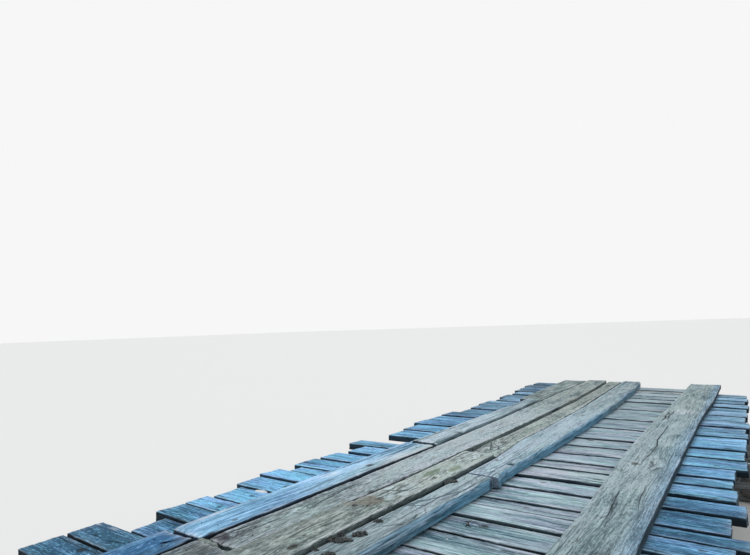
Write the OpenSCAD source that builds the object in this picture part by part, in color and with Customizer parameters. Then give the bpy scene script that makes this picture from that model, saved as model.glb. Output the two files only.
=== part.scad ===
/* [Deck planks] */
// Nominal length of a cross plank
plank_l = 3050; // [2900:10:3200]
// Nominal thickness of a cross plank
plank_t = 55; // [45:1:70]
// Gap between neighbouring planks
plank_gap = 12; // [6:1:20]
// Distance from mid-span to the near edge of the deck
deck_near = 4650; // [4500:10:4700]

/* [Wheel tracks] */
// Length of both wheel tracks from bank to bank
track_l = 10000; // [9700:10:10200]
// Distance of the left track's middle from the centre line
left_track = 420; // [380:5:460]
// Distance of the right track's middle from the centre line
right_track = 965; // [920:5:1010]
// Thickness of the outer boards at the near bank
outer_t = 100; // [80:1:120]
// How much the raised outer boards stand above the first one
outer_rise = 7; // [0:1:15]
// Thickness of the second row of boards
second_t = 105; // [85:1:125]
// Thickness of the first board in the third row
third_t = 105; // [85:1:125]
// Thickness of the thinner board that follows it
third_thin_t = 75; // [60:1:90]
// Thickness of the inner boards
inner_t = 80; // [60:1:100]
// Thickness of the single right track
right_t = 55; // [45:1:80]

/* [Stringers] */
// Diameter of a stringer log
stringer_d = 420; // [380:5:460]
// Distance of the outer stringers from the centre line
stringer_outer = 1150; // [1100:5:1200]
// Distance of the inner stringers from the centre line
stringer_inner = 400; // [350:5:450]
// Depth hewn off a stringer's crown to seat the planks
crown_cut = 30; // [20:1:40]
// How far a stringer's near end stays behind the deck's edge
stringer_inset = 60; // [20:5:120]

/* [Log cribs] */
// Diameter of the base logs
base_d = 300; // [260:5:340]
// Length of the base logs
base_l = 3600; // [3500:10:3800]
// Diameter of the tie logs
tie_d = 260; // [220:5:300]
// Distance of the outer tie logs from the centre line
tie_x = 1300; // [1250:5:1340]
// Diameter of the sill logs
sill_d = 320; // [280:5:360]
// Length of the sill logs
sill_l = 3400; // [3200:10:3500]
// Distance of a crib's front logs from mid-span
crib_front = 3300; // [3200:10:3400]
// Distance of a crib's back logs from mid-span
crib_back = 4100; // [4000:10:4150]
// How far the tie logs run past the front and back logs
tie_over = 260; // [200:5:320]
// Depth hewn off each log where two logs cross
hew = 20; // [10:1:25]

/* [Hidden] */
$fn = 96;
// Clearance beside a log in its notch
notch_play = 3;
// Each plank: pitch at its left end, pitch at its right end, rise over the
// nominal thickness, extra length on the left, extra length on the right
PLANKS = [
    [320, 320, 7, 20, 10], [230, 230, 10, -60, 40], [230, 230, 4, 80, -20],
    [220, 220, 1, 0, 30], [250, 250, 5, 180, 10], [230, 230, 10, 170, -30],
    [250, 250, 3, -110, 40], [230, 230, 10, 40, 0], [200, 200, 1, 60, 20],
    [270, 270, -3, 10, -40], [250, 260, -1, 90, 30], [230, 260, 10, 110, 0],
    [150, 180, 0, 0, 60], [290, 310, -1, 100, -30], [270, 270, 0, 60, 40],
    [280, 290, 10, -40, -10], [230, 240, 8, 170, -40], [280, 300, 8, -330, -30],
    [360, 320, 5, 40, 40], [340, 330, 5, 80, 20], [310, 280, 10, 150, 30],
    [310, 280, 1, 130, 30], [330, 260, 10, 120, 40], [320, 270, 1, 20, 20],
    [380, 340, 10, 20, 50], [400, 350, 5, 70, 10], [380, 330, 10, -20, 30],
    [400, 350, -1, 90, 20], [350, 310, 8, 30, 40], [330, 330, 10, 120, 0],
    [340, 330, 7, 150, 30], [330, 330, 4, 200, 10], [340, 340, 8, 160, -530],
];
planks_per_bay = 3;
bays = ceil(len(PLANKS) / planks_per_bay);
// Each board: stations along the track in tenths of its length, with the
// board's left and right edge there, measured from the track's middle
OUTER_1 = [[0, -565, -318], [1.79, -558, -312]];
OUTER_2 = [[1.81, -529, -280], [2.4, -527, -268], [4.15, -520, -235]];
OUTER_3 = [[4.18, -480, -228], [5.5, -462, -222], [6.3, -450, -236], [7.1, -440, -250]];
OUTER_4 = [[7.13, -568, -262], [8.7, -622, -286], [9.6, -650, -300]];
SECOND_1 = [[0, -290, -25], [1.79, -280, -17]];
SECOND_2 = [
    [1.81, -254, -12], [2.35, -223, 20], [3.25, -208, 65], [4.1, -200, 66],
    [4.6, -201, 92], [5.5, -205, 105], [6.4, -222, 110], [7.75, -250, 92],
    [8.65, -262, 65], [9.68, -275, 14],
];
THIRD_1 = [[0, 0, 245], [1.9, 11, 263], [3.25, 88, 317], [4.1, 90, 345]];
THIRD_2 = [
    [4.13, 84, 344], [4.7, 108, 303], [5.9, 120, 323], [7, 122, 323],
    [7.5, 114, 308], [8.7, 78, 266], [9.79, 28, 231],
];
INNER_1 = [
    [0, 252, 480], [2.1, 275, 502], [2.45, 291, 507], [2.7, 309, 516],
    [2.95, 332, 525], [3.4, 343, 542], [3.59, 345, 548],
];
INNER_2 = [
    [3.6, 350, 585], [3.75, 352, 562], [4.1, 358, 565], [4.7, 315, 595],
    [5.9, 335, 615], [7, 335, 610], [7.5, 320, 605], [8.7, 278, 575],
    [9.9, 240, 505],
];
RIGHT_1 = [[0, -175, 175], [2.3, -175, 178]];
RIGHT_2 = [
    [2.33, -175, 180], [3.1, -175, 180], [4.05, -200, 180], [4.8, -225, 180],
    [5.95, -230, 185], [6.7, -220, 190], [7.3, -200, 205], [8.1, -195, 233],
    [10, -175, 245],
];
// How far each stringer's far end stays behind the deck's far edge
FAR_INSET = [60, 60, 60, 400];

half_l = plank_l / 2;
station = track_l / 10;
plank_rise = max([for (p = PLANKS) p[2]]);

// Heights of the bearing planes, from the ground up
base_z = base_d / 2 - hew;
tie_seat = base_d - 2 * hew;
tie_z = tie_seat + tie_d / 2 - hew;
sill_seat = tie_seat + tie_d - 2 * hew;
sill_z = sill_seat + sill_d / 2 - hew;
stringer_seat = sill_seat + sill_d - 2 * hew;
stringer_z = stringer_seat + stringer_d / 2 - hew;
plank_seat = stringer_seat + stringer_d - hew - crown_cut;
board_seat = plank_seat + plank_t + plank_rise;

// Edge line between two planks, at the nominal left and right plank ends
function edge(i, side) =
    i == 0 ? -deck_near : edge(i - 1, side) + PLANKS[i - 1][side];
function edge_at(i, x) =
    edge(i, 0) + (edge(i, 1) - edge(i, 0)) * (x + half_l) / plank_l;
// Half the width that a log takes up in the notch of the log it crosses
function notch_half(d) =
    sqrt(pow(d / 2, 2) - pow(d / 2 - 2 * hew, 2)) + notch_play;

two_digits = function(n) str(n < 10 ? "0" : "", n);
bay_name = function(b) str("deck_planks_", two_digits(b + 1));
BANKS = [["near", -1], ["far", 1]];
CRIB_PIECES = [
    "front_base_log", "back_base_log", "tie_logs", "front_sill_log", "back_sill_log",
];
STRINGERS = [
    ["left_outer_stringer", -stringer_outer], ["left_inner_stringer", -stringer_inner],
    ["right_inner_stringer", stringer_inner], ["right_outer_stringer", stringer_outer],
];
BOARDS = [
    "left_outer_board_1", "left_outer_board_2", "left_outer_board_3",
    "left_outer_board_4", "left_second_board_1", "left_second_board_2",
    "left_third_board_1", "left_third_board_2", "left_inner_board_1",
    "left_inner_board_2", "right_board_1", "right_board_2",
];

// One cross plank, cut square at ends that don't line up
module plank(i) {
    p = PLANKS[i];
    left = -half_l - p[3];
    right = half_l + p[4];
    translate([0, 0, plank_seat])
        linear_extrude(plank_t + p[2])
            polygon([
                [left, edge_at(i, left)],
                [right, edge_at(i, right)],
                [right, edge_at(i + 1, right) - plank_gap],
                [left, edge_at(i + 1, left) - plank_gap],
            ]);
}

// The planks of one bay, which don't touch each other
module deck_planks(b) {
    first = b * planks_per_bay;
    last = min(first + planks_per_bay, len(PLANKS)) - 1;
    color("lightslategray")
        for (i = [first:last]) plank(i);
}

// A sawn board along the track, with its own wavy edges
module board(rows, middle, thickness) {
    last = len(rows) - 1;
    translate([middle, -track_l / 2, board_seat])
        linear_extrude(thickness)
            polygon(concat(
                [for (r = rows) [r[2], r[0] * station]],
                [for (k = [last:-1:0]) [rows[k][1], rows[k][0] * station]]
            ));
}

module outer_board(rows, rise) {
    color("lightsteelblue") board(rows, -left_track, outer_t + rise);
}

module second_board(rows) {
    color("darkkhaki") board(rows, -left_track, second_t);
}

module third_board(rows, thickness) {
    color("tan") board(rows, -left_track, thickness);
}

module inner_board(rows) {
    color("silver") board(rows, -left_track, inner_t);
}

module right_board(rows) {
    color("darkgray") board(rows, right_track, right_t);
}

// A round log along Y, flat on its crown, notched over both cribs
module stringer(i) {
    x = STRINGERS[i][1];
    y0 = -deck_near + stringer_inset;
    y1 = edge_at(len(PLANKS), x) - plank_gap - FAR_INSET[i];
    r = stringer_d / 2;
    color("rosybrown")
        difference() {
            translate([x, y0, stringer_z]) rotate([-90, 0, 0]) cylinder(h = y1 - y0, r = r);
            translate([x - r, y0 - 1, plank_seat]) cube([stringer_d, y1 - y0 + 2, r]);
            for (side = [-1, 1], y = [crib_front, crib_back])
                translate([x - r, side * y - notch_half(sill_d), stringer_seat - r])
                    cube([stringer_d, 2 * notch_half(sill_d), r]);
        }
}

// A round log along X at distance y, with seats of the given half width
// cut into its crown at each of the positions xs
module cross_log(d, length, z, y, xs, half) {
    r = d / 2;
    difference() {
        translate([-length / 2, y, z]) rotate([0, 90, 0]) cylinder(h = length, r = r);
        for (x = xs)
            translate([x - half, y - r, z + r - hew]) cube([2 * half, d, r]);
    }
}

module base_log(y) {
    r = base_d / 2;
    color("sienna")
        difference() {
            cross_log(base_d, base_l, base_z, y, [-tie_x, 0, tie_x], notch_half(tie_d));
            translate([-base_l / 2 - 1, y - r, -r]) cube([base_l + 2, base_d, r]);
        }
}

// The underside of a sill is notched over each tie log
module sill_log(y) {
    r = sill_d / 2;
    half = notch_half(tie_d);
    color("sienna")
        difference() {
            cross_log(sill_d, sill_l, sill_z, y, [for (s = STRINGERS) s[1]],
                notch_half(stringer_d));
            for (x = [-tie_x, 0, tie_x])
                translate([x - half, y - r, sill_seat - r]) cube([2 * half, sill_d, r]);
        }
}

// Three short logs across the crib, notched over the base logs and
// under the sill logs
module tie_logs(side) {
    r = tie_d / 2;
    length = crib_back - crib_front + 2 * tie_over;
    y0 = side * (crib_front + crib_back) / 2 - length / 2;
    color("peru")
        for (x = [-tie_x, 0, tie_x])
            difference() {
                translate([x, y0, tie_z]) rotate([-90, 0, 0]) cylinder(h = length, r = r);
                for (y = [crib_front, crib_back]) {
                    translate([x - r, side * y - notch_half(base_d), tie_seat - r])
                        cube([tie_d, 2 * notch_half(base_d), r]);
                    translate([x - r, side * y - notch_half(sill_d), sill_seat])
                        cube([tie_d, 2 * notch_half(sill_d), r]);
                }
            }
}

for (b = [0:bays - 1])
    deck_planks(b);
outer_board(OUTER_1, 0);  // left_outer_board_1
outer_board(OUTER_2, outer_rise);  // left_outer_board_2
outer_board(OUTER_3, 2 * outer_rise);  // left_outer_board_3
outer_board(OUTER_4, 0);  // left_outer_board_4
second_board(SECOND_1);  // left_second_board_1
second_board(SECOND_2);  // left_second_board_2
third_board(THIRD_1, third_t);  // left_third_board_1
third_board(THIRD_2, third_thin_t);  // left_third_board_2
inner_board(INNER_1);  // left_inner_board_1
inner_board(INNER_2);  // left_inner_board_2
right_board(RIGHT_1);  // right_board_1
right_board(RIGHT_2);  // right_board_2
for (i = [0:len(STRINGERS) - 1])
    stringer(i);
for (bank = BANKS) {
    base_log(bank[1] * crib_front);
    base_log(bank[1] * crib_back);
    tie_logs(bank[1]);
    sill_log(bank[1] * crib_front);
    sill_log(bank[1] * crib_back);
}
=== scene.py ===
"""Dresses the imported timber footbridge: weathered planks, boards and logs, spikes and dirt."""
import math
from types import SimpleNamespace

import bmesh
import bpy
import numpy as np
from mathutils import Matrix, Vector


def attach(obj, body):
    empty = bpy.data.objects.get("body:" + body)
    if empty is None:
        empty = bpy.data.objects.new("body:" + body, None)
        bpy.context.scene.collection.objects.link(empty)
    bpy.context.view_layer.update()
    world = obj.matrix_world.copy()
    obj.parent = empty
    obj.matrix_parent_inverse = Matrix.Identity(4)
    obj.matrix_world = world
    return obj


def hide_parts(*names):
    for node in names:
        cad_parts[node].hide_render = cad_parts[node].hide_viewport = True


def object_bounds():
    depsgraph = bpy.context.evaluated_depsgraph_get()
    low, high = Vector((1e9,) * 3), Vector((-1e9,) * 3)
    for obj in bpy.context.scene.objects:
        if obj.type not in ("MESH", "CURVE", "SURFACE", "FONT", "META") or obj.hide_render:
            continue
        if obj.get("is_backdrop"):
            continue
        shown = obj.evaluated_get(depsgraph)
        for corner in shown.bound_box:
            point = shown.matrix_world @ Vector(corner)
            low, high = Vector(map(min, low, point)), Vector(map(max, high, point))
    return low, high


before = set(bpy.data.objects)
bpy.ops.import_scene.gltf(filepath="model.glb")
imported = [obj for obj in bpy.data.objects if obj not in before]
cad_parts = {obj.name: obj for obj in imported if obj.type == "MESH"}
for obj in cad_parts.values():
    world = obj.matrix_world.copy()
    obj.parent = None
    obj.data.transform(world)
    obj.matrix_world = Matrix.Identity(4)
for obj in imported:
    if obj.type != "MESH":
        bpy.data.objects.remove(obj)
CAD_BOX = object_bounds()

# The camera's place over the near end of the bridge, and how it is turned
EYE = Vector((1.67, -4.9, 2.335))
YAW, PITCH, ROLL = (math.radians(a) for a in (35.564, -5.438, 1.956))
FOCAL_PX, IMAGE_W, SENSOR_MM = 520, 750, 36

# How deep each log is hewn where it crosses another, and the play beside it
HEW, PLAY = 0.02, 0.003

PLANK_NODES = [f"deck_planks_{n:02d}" for n in range(1, 12)]
STRINGER_NODES = ["left_outer_stringer", "left_inner_stringer",
                  "right_inner_stringer", "right_outer_stringer"]

# A quarter round is stepped at these shares of its radius
ROUNDING = np.array([0.0, 0.12, 0.45])
# Edges sharper than this stay crisp
CRISP = math.radians(48)

# The weathered top of a sawn timber: share, cell along it and cell across it of each ripple
TOP_RIPPLES = ((0.5, 0.7, 0.11), (0.4, 0.5, 0.024), (0.2, 0.12, 0.03))
# How far a crack draws along the columns of points on each side of it, the least half width
# between its lips, and the lengths over which its pull and its opening end
CRACK_PULL = np.array([0.3, 0.65, 1.0, 1.0, 1.0, 0.65, 0.3])
CRACK_LIP, CRACK_FADE, CRACK_TAPER = 0.002, 0.3, 0.15
# The least timber left under a hollow, and the depth of rotten holes and of mud
LEAST_TIMBER, HOLE_DEPTH, MUD_DEPTH = 0.012, 0.012, 0.006
# How wide the paler rims and tips of a sawn timber are, worn and with a painted highlight
RIM_WIDTH, TIP_WIDTH = 0.014, 0.02
# Planks have paler rims this far to each side of the middle between the tracks
TRACKS_MIDDLE, TRACKS_REACH = 0.1, 1.0

# Round logs: spacing of their rows, points round them, rounding at their ends, and how far
# from heart to skin the rings of points on their sawn ends lie
LOG_STEP, LOG_SIDES, LOG_ARRIS = 0.03, 52, 0.012
END_RINGS = np.array([0.94, 0.78, 0.58, 0.36, 0.14])
# The lengths of log that have one knot and one drying crack
KNOT_EVERY, CRACK_EVERY = 0.6, 0.9
# Rows of points this close to each wall of a seat keep it crisp
SEAT_WALL = 0.001


def smooth(x):
    x = np.clip(x, 0.0, 1.0)
    return x * x * (3 - 2 * x)


def ripple(rng, x, y, cell_x, cell_y):
    """Smooth random heights from -1 to 1 over a plane, one value per cell."""
    x, y = np.broadcast_arrays(np.asarray(x, float), np.asarray(y, float))
    gx, gy = (x - x.min()) / cell_x, (y - y.min()) / cell_y
    ix, iy = gx.astype(int), gy.astype(int)
    heights = rng.uniform(-1, 1, (ix.max() + 2, iy.max() + 2))
    fx, fy = smooth(gx - ix), smooth(gy - iy)
    near = heights[ix, iy] * (1 - fx) + heights[ix + 1, iy] * fx
    far = heights[ix, iy + 1] * (1 - fx) + heights[ix + 1, iy + 1] * fx
    return near * (1 - fy) + far * fy


def waver(rng, x, cell):
    """The same along one line."""
    return ripple(rng, x, np.zeros_like(x), cell, 1.0)


def quarter_drop(share):
    """How far a quarter round of radius 1 has dropped, at that share of its width."""
    return 1 - np.sqrt(np.maximum(0.0, 1 - (1 - np.asarray(share)) ** 2))


def quads(grid, closed=False):
    """Faces between the rows of a grid of point numbers, closed round each row or not."""
    beside = np.roll(grid, -1, 1)
    faces = np.stack([grid[:-1], grid[1:], beside[1:], beside[:-1]], 2)
    if not closed:
        faces = faces[:, :-1]
    return faces.reshape(-1, 4).tolist()


def zipped(row_a, row_b, at_a, at_b):
    """Triangles between two rows of points with different spacing."""
    faces, a, b = [], 0, 0
    while a < len(row_a) - 1 or b < len(row_b) - 1:
        if b == len(row_b) - 1 or (a < len(row_a) - 1 and at_a[a + 1] <= at_b[b + 1]):
            faces.append((row_a[a], row_a[a + 1], row_b[b]))
            a += 1
        else:
            faces.append((row_a[a], row_b[b + 1], row_b[b]))
            b += 1
    return faces


def shown(name, data):
    """A new object in the scene."""
    thing = bpy.data.objects.new(name, data)
    bpy.context.scene.collection.objects.link(thing)
    return thing


class Shape:
    """Points, faces and surface values of one piece, gathered timber by timber."""

    def __init__(self):
        self.points, self.faces, self.values = [], [], []
        self.count = 0

    def add(self, points, faces, values=None):
        self.faces += [tuple(i + self.count for i in face) for face in faces]
        self.points.append(points)
        self.values.append(values or {})
        self.count += len(points)

    def piece(self, name, material, slot, *nodes):
        """Closes the shape into an object that rides on the bridge and stands for its nodes."""
        mesh = bpy.data.meshes.new(name)
        mesh.from_pydata(np.concatenate(self.points).tolist(), [], self.faces)
        work = bmesh.new()
        work.from_mesh(mesh)
        bmesh.ops.recalc_face_normals(work, faces=work.faces)
        work.to_mesh(mesh)
        work.free()
        for key in self.values[0]:
            data = np.concatenate([values[key] for values in self.values])
            kind, part = ("FLOAT_VECTOR", "vector") if data.ndim == 2 else ("FLOAT", "value")
            mesh.attributes.new(key, kind, "POINT").data.foreach_set(part, data.ravel())
        mesh.shade_smooth()
        mesh.set_sharp_from_angle(angle=CRISP)
        mesh.materials.append(material)
        thing = shown(name, mesh)
        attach(thing, "root")
        if nodes:
            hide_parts(*nodes)


def solids(node):
    """The separate solids of a CAD node, each as its corner points, from near to far."""
    work = bmesh.new()
    work.from_mesh(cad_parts[node].data)
    bmesh.ops.remove_doubles(work, verts=work.verts, dist=1e-5)
    work.verts.ensure_lookup_table()
    seen, found = set(), []
    for first in work.verts:
        if first.index in seen:
            continue
        seen.add(first.index)
        group, waiting = [], [first]
        while waiting:
            corner = waiting.pop()
            group.append(corner.co[:])
            for edge in corner.link_edges:
                other = edge.other_vert(corner)
                if other.index not in seen:
                    seen.add(other.index)
                    waiting.append(other)
        found.append(np.array(group))
    work.free()
    return sorted(found, key=lambda corners: round(corners[:, 1].mean(), 3))


def box_of(corners):
    return corners.min(0), corners.max(0)


def outline(corners, along):
    """Rows of station, low edge and high edge of a sawn timber, and its underside and top."""
    low, top = corners[:, 2].min(), corners[:, 2].max()
    face = corners[corners[:, 2] > top - 1e-4]
    rows = []
    for station in np.unique(np.round(face[:, along], 4)):
        edge = face[np.abs(face[:, along] - station) < 1e-3, 1 - along]
        rows.append((station, edge.min(), edge.max()))
    return np.array(rows), low, top


def edges_at(rows, station):
    """The low and the high edge of a sawn timber at one or more stations."""
    return [np.interp(station, rows[:, 0], rows[:, side]) for side in (1, 2)]


class SawnTimber:
    """A weathered sawn timber in the place of a CAD prism.

    It is a grid with a row of points across the timber at each station along it. A column
    of numbers has one for each row. All of it is worked out as if the timber lay along x.

    cracks: rows of width, depth, then station and place across at each point of the path.
    knots and holes: station, place across, radius.
    bites: station, side -1 or 1, length, depth."""

    def __init__(self, corners, along, rng, look, cracks=(), knots=(), bites=(), holes=()):
        self.along, self.rng, self.look = along, rng, look
        self.rows, self.low, self.top = outline(corners, along)
        self.start, self.end = self.rows[0, 0], self.rows[-1, 0]
        self.set_out()
        self.saw_edges(bites)
        self.lay_columns()
        self.crack(cracks)
        self.weather(knots, holes)
        self.close_round()
        self.splinter_ends()

    def set_out(self):
        """Stations, close together at the rounded ends, and how far each row drops there."""
        look, start, end = self.look, self.start, self.end
        rim = look["end_arris"] * ROUNDING
        count = max(4, round((end - start) / look["step"]))
        inner = np.linspace(start + look["end_arris"], end - look["end_arris"], count)
        self.s = np.concatenate([start + rim, inner, end - rim[::-1]])[:, None]
        drop = np.zeros_like(self.s)
        drop[:len(rim), 0] = look["end_arris"] * quarter_drop(ROUNDING)
        drop[-len(rim):] = drop[:len(rim)][::-1]
        length, depth = look["tongue"]
        self.end_drop = drop + depth * np.clip(1 - (self.s - start) / length, 0, 1) ** 2

    def saw_edges(self, bites):
        """Edges in plan, wavy and bitten, and how round the arris above each is."""
        look, rng, s = self.look, self.rng, self.s
        edges = []
        for side, edge in zip((-1, 1), edges_at(self.rows, s)):
            edge -= side * look["wave"] * (0.5 + 0.5 * waver(rng, s, 0.4))
            edge -= side * (look["slack"] + look["wave"] * 0.5 * np.abs(waver(rng, s, 0.05)))
            for station, bitten, length, depth in bites:
                if bitten == side:
                    edge -= side * depth * np.exp(-((s - station) / length) ** 2)
            edges.append(edge)
        self.lo, self.hi = edges
        self.arris = [r * (1 + 0.35 * waver(rng, s, 0.18)) for r in look["arris"]]

    def lay_columns(self):
        """Places across the top: a rounded rim, the face, a rounded rim."""
        round_lo, round_hi = self.arris
        width = (self.rows[:, 2] - self.rows[:, 1]).mean()
        face = np.linspace(0, 1, max(5, round(width / self.look["cell"])) + 1)
        rim = len(ROUNDING)
        on_lo = np.concatenate([ROUNDING, np.ones(len(face) + rim)])
        share = np.concatenate([np.zeros(rim), face, np.ones(rim)])
        on_hi = np.concatenate([np.zeros(rim + len(face)), 1 - ROUNDING[::-1]])
        self.across = (self.lo + round_lo * on_lo + round_hi * on_hi
                       + share * (self.hi - self.lo - round_lo - round_hi))
        self.drop = round_lo * quarter_drop(on_lo) + round_hi * quarter_drop(1 - on_hi)
        self.plain = self.across.copy()

    def crack(self, cracks):
        """Cracks pull the nearest column on to their path, sink it and darken it with painted
        shade.
        """
        rng, s, across = self.rng, self.s, self.across
        self.groove, self.dark = np.zeros_like(across), np.zeros_like(across)
        for wide, deep, *path in cracks:
            path = np.array(path).reshape(-1, 2)
            first, last = path[0, 0], path[-1, 0]
            line = np.interp(s, path[:, 0], path[:, 1]) + 0.003 * waver(rng, s, 0.07)
            middle = np.abs(s - (first + last) / 2).argmin()
            j = int(np.clip(np.abs(across[middle] - line[middle]).argmin(),
                            3, across.shape[1] - 4))
            hold = smooth((s - first) / CRACK_FADE + 1) * smooth((last - s) / CRACK_FADE + 1)
            taper = min(CRACK_TAPER, (last - first) / 3)
            opened = (np.clip((s - first) / taper + (first < self.start + 0.02), 0, 1)
                      * np.clip((last - s) / taper + (last > self.end - 0.02), 0, 1))
            opened = opened * (1 + 0.3 * waver(rng, s, 0.06))
            across[:, j - 3:j + 4] += CRACK_PULL * (hold * (line - across[:, [j]]))
            lips = np.maximum(hold * opened * wide / 2, CRACK_LIP)
            for k in (-1, 1):
                gap = across[:, [j + k]] - across[:, [j]]
                across[:, [j + k]] += hold * (k * lips - gap)
            self.groove[:, [j]] += deep * opened
            # Painted shade in the crack and at its lips
            self.dark[:, [j]] += np.clip(opened * 1.5, 0, 1)
            self.dark[:, [j - 1, j + 1]] += 0.35 * opened

    def weather(self, knots, holes):
        """The top as sun and rain have left it: worn, cupped, chipped at its edges."""
        look, rng, s = self.look, self.rng, self.s
        lo, hi, plain = self.lo, self.hi, self.plain
        self.share = (plain - lo) / (hi - lo)
        worn = look["relief"] * sum((part * ripple(rng, s, plain, *cells)
                                     for part, *cells in TOP_RIPPLES), 0.9)
        worn += look["cup"] * (1 - (2 * self.share - 1) ** 2) * (1 + 0.4 * waver(rng, s, 0.5))
        worn += look["rock"] * rng.uniform(-1, 1) * (self.share - 0.5) + abs(look["rock"]) / 2
        worn += look["tilt"] * self.share
        chips = ripple(rng, s, plain, 0.05, 0.02)
        near_edge = np.exp(-np.minimum(plain - lo, hi - plain) / 0.012)
        worn += 0.007 * near_edge * np.clip(chips - 0.35, 0, 1)
        self.knot = np.zeros_like(plain)
        for station, place, radius in knots:
            aside = plain - place
            far = np.sqrt(((s - station) * 0.6) ** 2 + aside ** 2)
            self.knot = np.maximum(self.knot, np.clip(1.5 - far / radius, 0, 1))
            worn -= 0.5 * look["relief"] * np.exp(-(far / radius / 1.4) ** 2)
            plain = plain + radius ** 2 * -aside / (far ** 2 + radius ** 2)
        self.plain = plain
        for station, place, radius in holes:
            far = np.hypot((s - station) * 0.8, self.across - place) / radius
            self.groove += HOLE_DEPTH * (1 - smooth(far - 0.5))
            # Painted shade in the rotten hole
            self.dark = np.maximum(self.dark, 1 - smooth(1.6 * (far - 0.7)))
        if self.along == 1:
            worn -= MUD_DEPTH * patches(self.across, s, MUD)
        height = self.top - np.maximum(worn, 0) - self.drop - self.end_drop - self.groove
        self.height = np.maximum(height, self.low + LEAST_TIMBER)

    def flank(self, edge_height, edge, side):
        """Places and heights down one side, a little dented."""
        z = edge_height + self.levels * (self.low - edge_height)
        dent = 0.0015 + 0.0015 * ripple(self.rng, self.s, z, 0.25, 0.012)
        dent[:, 0] *= 0.3
        return edge - side * dent, z

    def close_round(self):
        """Sides and underside close each row to a ring."""
        thick = self.top - self.low
        levels = np.linspace(0, 1, max(2, round(thick / self.look["side_cell"])) + 1)
        self.levels = np.insert(levels, 1, 0.004 / thick)[1:-1]
        self.under = np.linspace(0, 1, 5)
        hi_side, hi_z = self.flank(self.height[:, -1:], self.hi, 1)
        lo_side, lo_z = self.flank(self.height[:, :1], self.lo, -1)
        below = self.hi + self.under * (self.lo - self.hi)
        self.ring_across, self.ring_height, self.ring_plain = (
            np.concatenate([top, right, under, left[:, ::-1]], 1)
            for top, right, under, left in (
                (self.across, hi_side, below, lo_side),
                (self.height, hi_z, 0 * below + self.low, lo_z),
                (self.plain, hi_side, below, lo_side)))

    def splinter_ends(self):
        """End faces, a grid from the top edge down to the underside, and their splinters."""
        rng, s, ragged = self.rng, self.s, self.look["ragged"]
        n_rows, n_ring = self.ring_across.shape
        down = self.levels[:, None]
        caps, bitten = [], []
        for row, depth in zip((0, n_rows - 1), ragged):
            across = self.across[row, 1:-1] + 0 * down
            height = self.height[row, 1:-1] * (1 - down) + self.low * down
            caps.append((across.ravel(), height.ravel()))
            a = np.concatenate([self.ring_across[row], across.ravel()])
            z = np.concatenate([self.ring_height[row], height.ravel()])
            bite = (0.45 + 0.35 * ripple(rng, a, z, 0.055, 0.2)
                    + 0.3 * ripple(rng, a, z, 0.013, 0.03))
            bitten.append(depth * np.clip(bite, 0, 1.1))
        reach = np.maximum(0.12, 4 * np.array(ragged))
        shift = (bitten[0][:n_ring] * (1 - smooth((s - self.start) / reach[0]))
                 - bitten[1][:n_ring] * (1 - smooth((self.end - s) / reach[1])))
        ring = np.stack([s + shift, self.ring_across, self.ring_height], 2).reshape(-1, 3)
        ends = [np.stack([edge + sign * bite[n_ring:], *cap], 1) for edge, sign, bite, cap
                in zip((self.start, self.end), (1, -1), bitten, caps)]
        self.points = np.concatenate([ring, *ends])

    def faces(self):
        n_rows, n_ring = self.ring_across.shape
        n_top, n_side = self.across.shape[1], len(self.levels)
        index = np.arange(n_rows * n_ring).reshape(n_rows, n_ring)
        faces = quads(index, closed=True)
        for number, row in enumerate((0, n_rows - 1)):
            base = n_rows * n_ring + number * n_side * (n_top - 2)
            grid = np.zeros((n_side + 1, n_top), int)
            grid[0] = index[row, :n_top]
            grid[1:, -1] = index[row, n_top:n_top + n_side]
            grid[1:, 0] = index[row, n_ring - n_side:][::-1]
            grid[1:, 1:-1] = base + np.arange(n_side * (n_top - 2)).reshape(n_side, -1)
            faces += quads(grid)
            bottom = index[row, n_top + n_side:n_ring - n_side][::-1]
            faces += zipped(list(grid[-1]), list(bottom), self.share[row], self.under)
        return faces

    def grain(self):
        """The points as the wood's fibres see them, shifted so that no two timbers match."""
        rng = self.rng
        pith = np.array([rng.uniform(20, 900),
                         rng.uniform(-0.08, 0.08) - (self.lo.mean() + self.hi.mean()) / 2,
                         rng.uniform(0.06, 0.16) * rng.choice([-1, 1]) - self.top])
        grain = self.points.copy()
        grain[:self.ring_plain.size, 1] = self.ring_plain.ravel()
        grain[:, 1:] += rng.uniform(-0.02, 0.02, 2) * (self.points[:, :1] - self.start)
        return grain + pith

    def wear(self):
        """How pale the rims and tips of the top are, worn and with a painted highlight."""
        rims = np.maximum(self.look["rim"][0] * np.exp(-(self.plain - self.lo) / RIM_WIDTH),
                          self.look["rim"][1] * np.exp(-(self.hi - self.plain) / RIM_WIDTH))
        rims = np.clip(rims * (0.6 + 0.4 * waver(self.rng, self.s, 0.15)), 0, 1)
        ends = np.minimum(self.s - self.start, self.end - self.s)
        return np.maximum(rims, 0.8 * np.exp(-ends / TIP_WIDTH))

    def hollow(self):
        """Painted shade over each ring: dark in the cracks of the top and down the two sides."""
        look, n_top, n_side = self.look, self.across.shape[1], len(self.levels)
        table = self.on_rings(np.clip(self.dark, 0, 1))
        # The flanks take painted shade from just below the rim, deeper from foot down, less at a
        # plank's lit left end
        rim_z = np.minimum(self.height[:, :1], self.height[:, -1:]) + 0.003
        below = smooth((rim_z - self.ring_height) / 0.006)
        foot = 0.8 * smooth((rim_z - self.ring_height - look["foot"]) / 0.02)
        lit = look["lit_end"] * smooth((-1.1 - self.s) / 0.2)
        low_side, high_side = slice(n_top + n_side + 2, None), slice(n_top, n_top + n_side + 3)
        for side, dark in ((low_side, look["shade"][0] * below * (1 - lit)),
                           (high_side, look["shade"][1] * below)):
            table[:, side] = np.maximum(dark, foot)[:, side]
        return table

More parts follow.
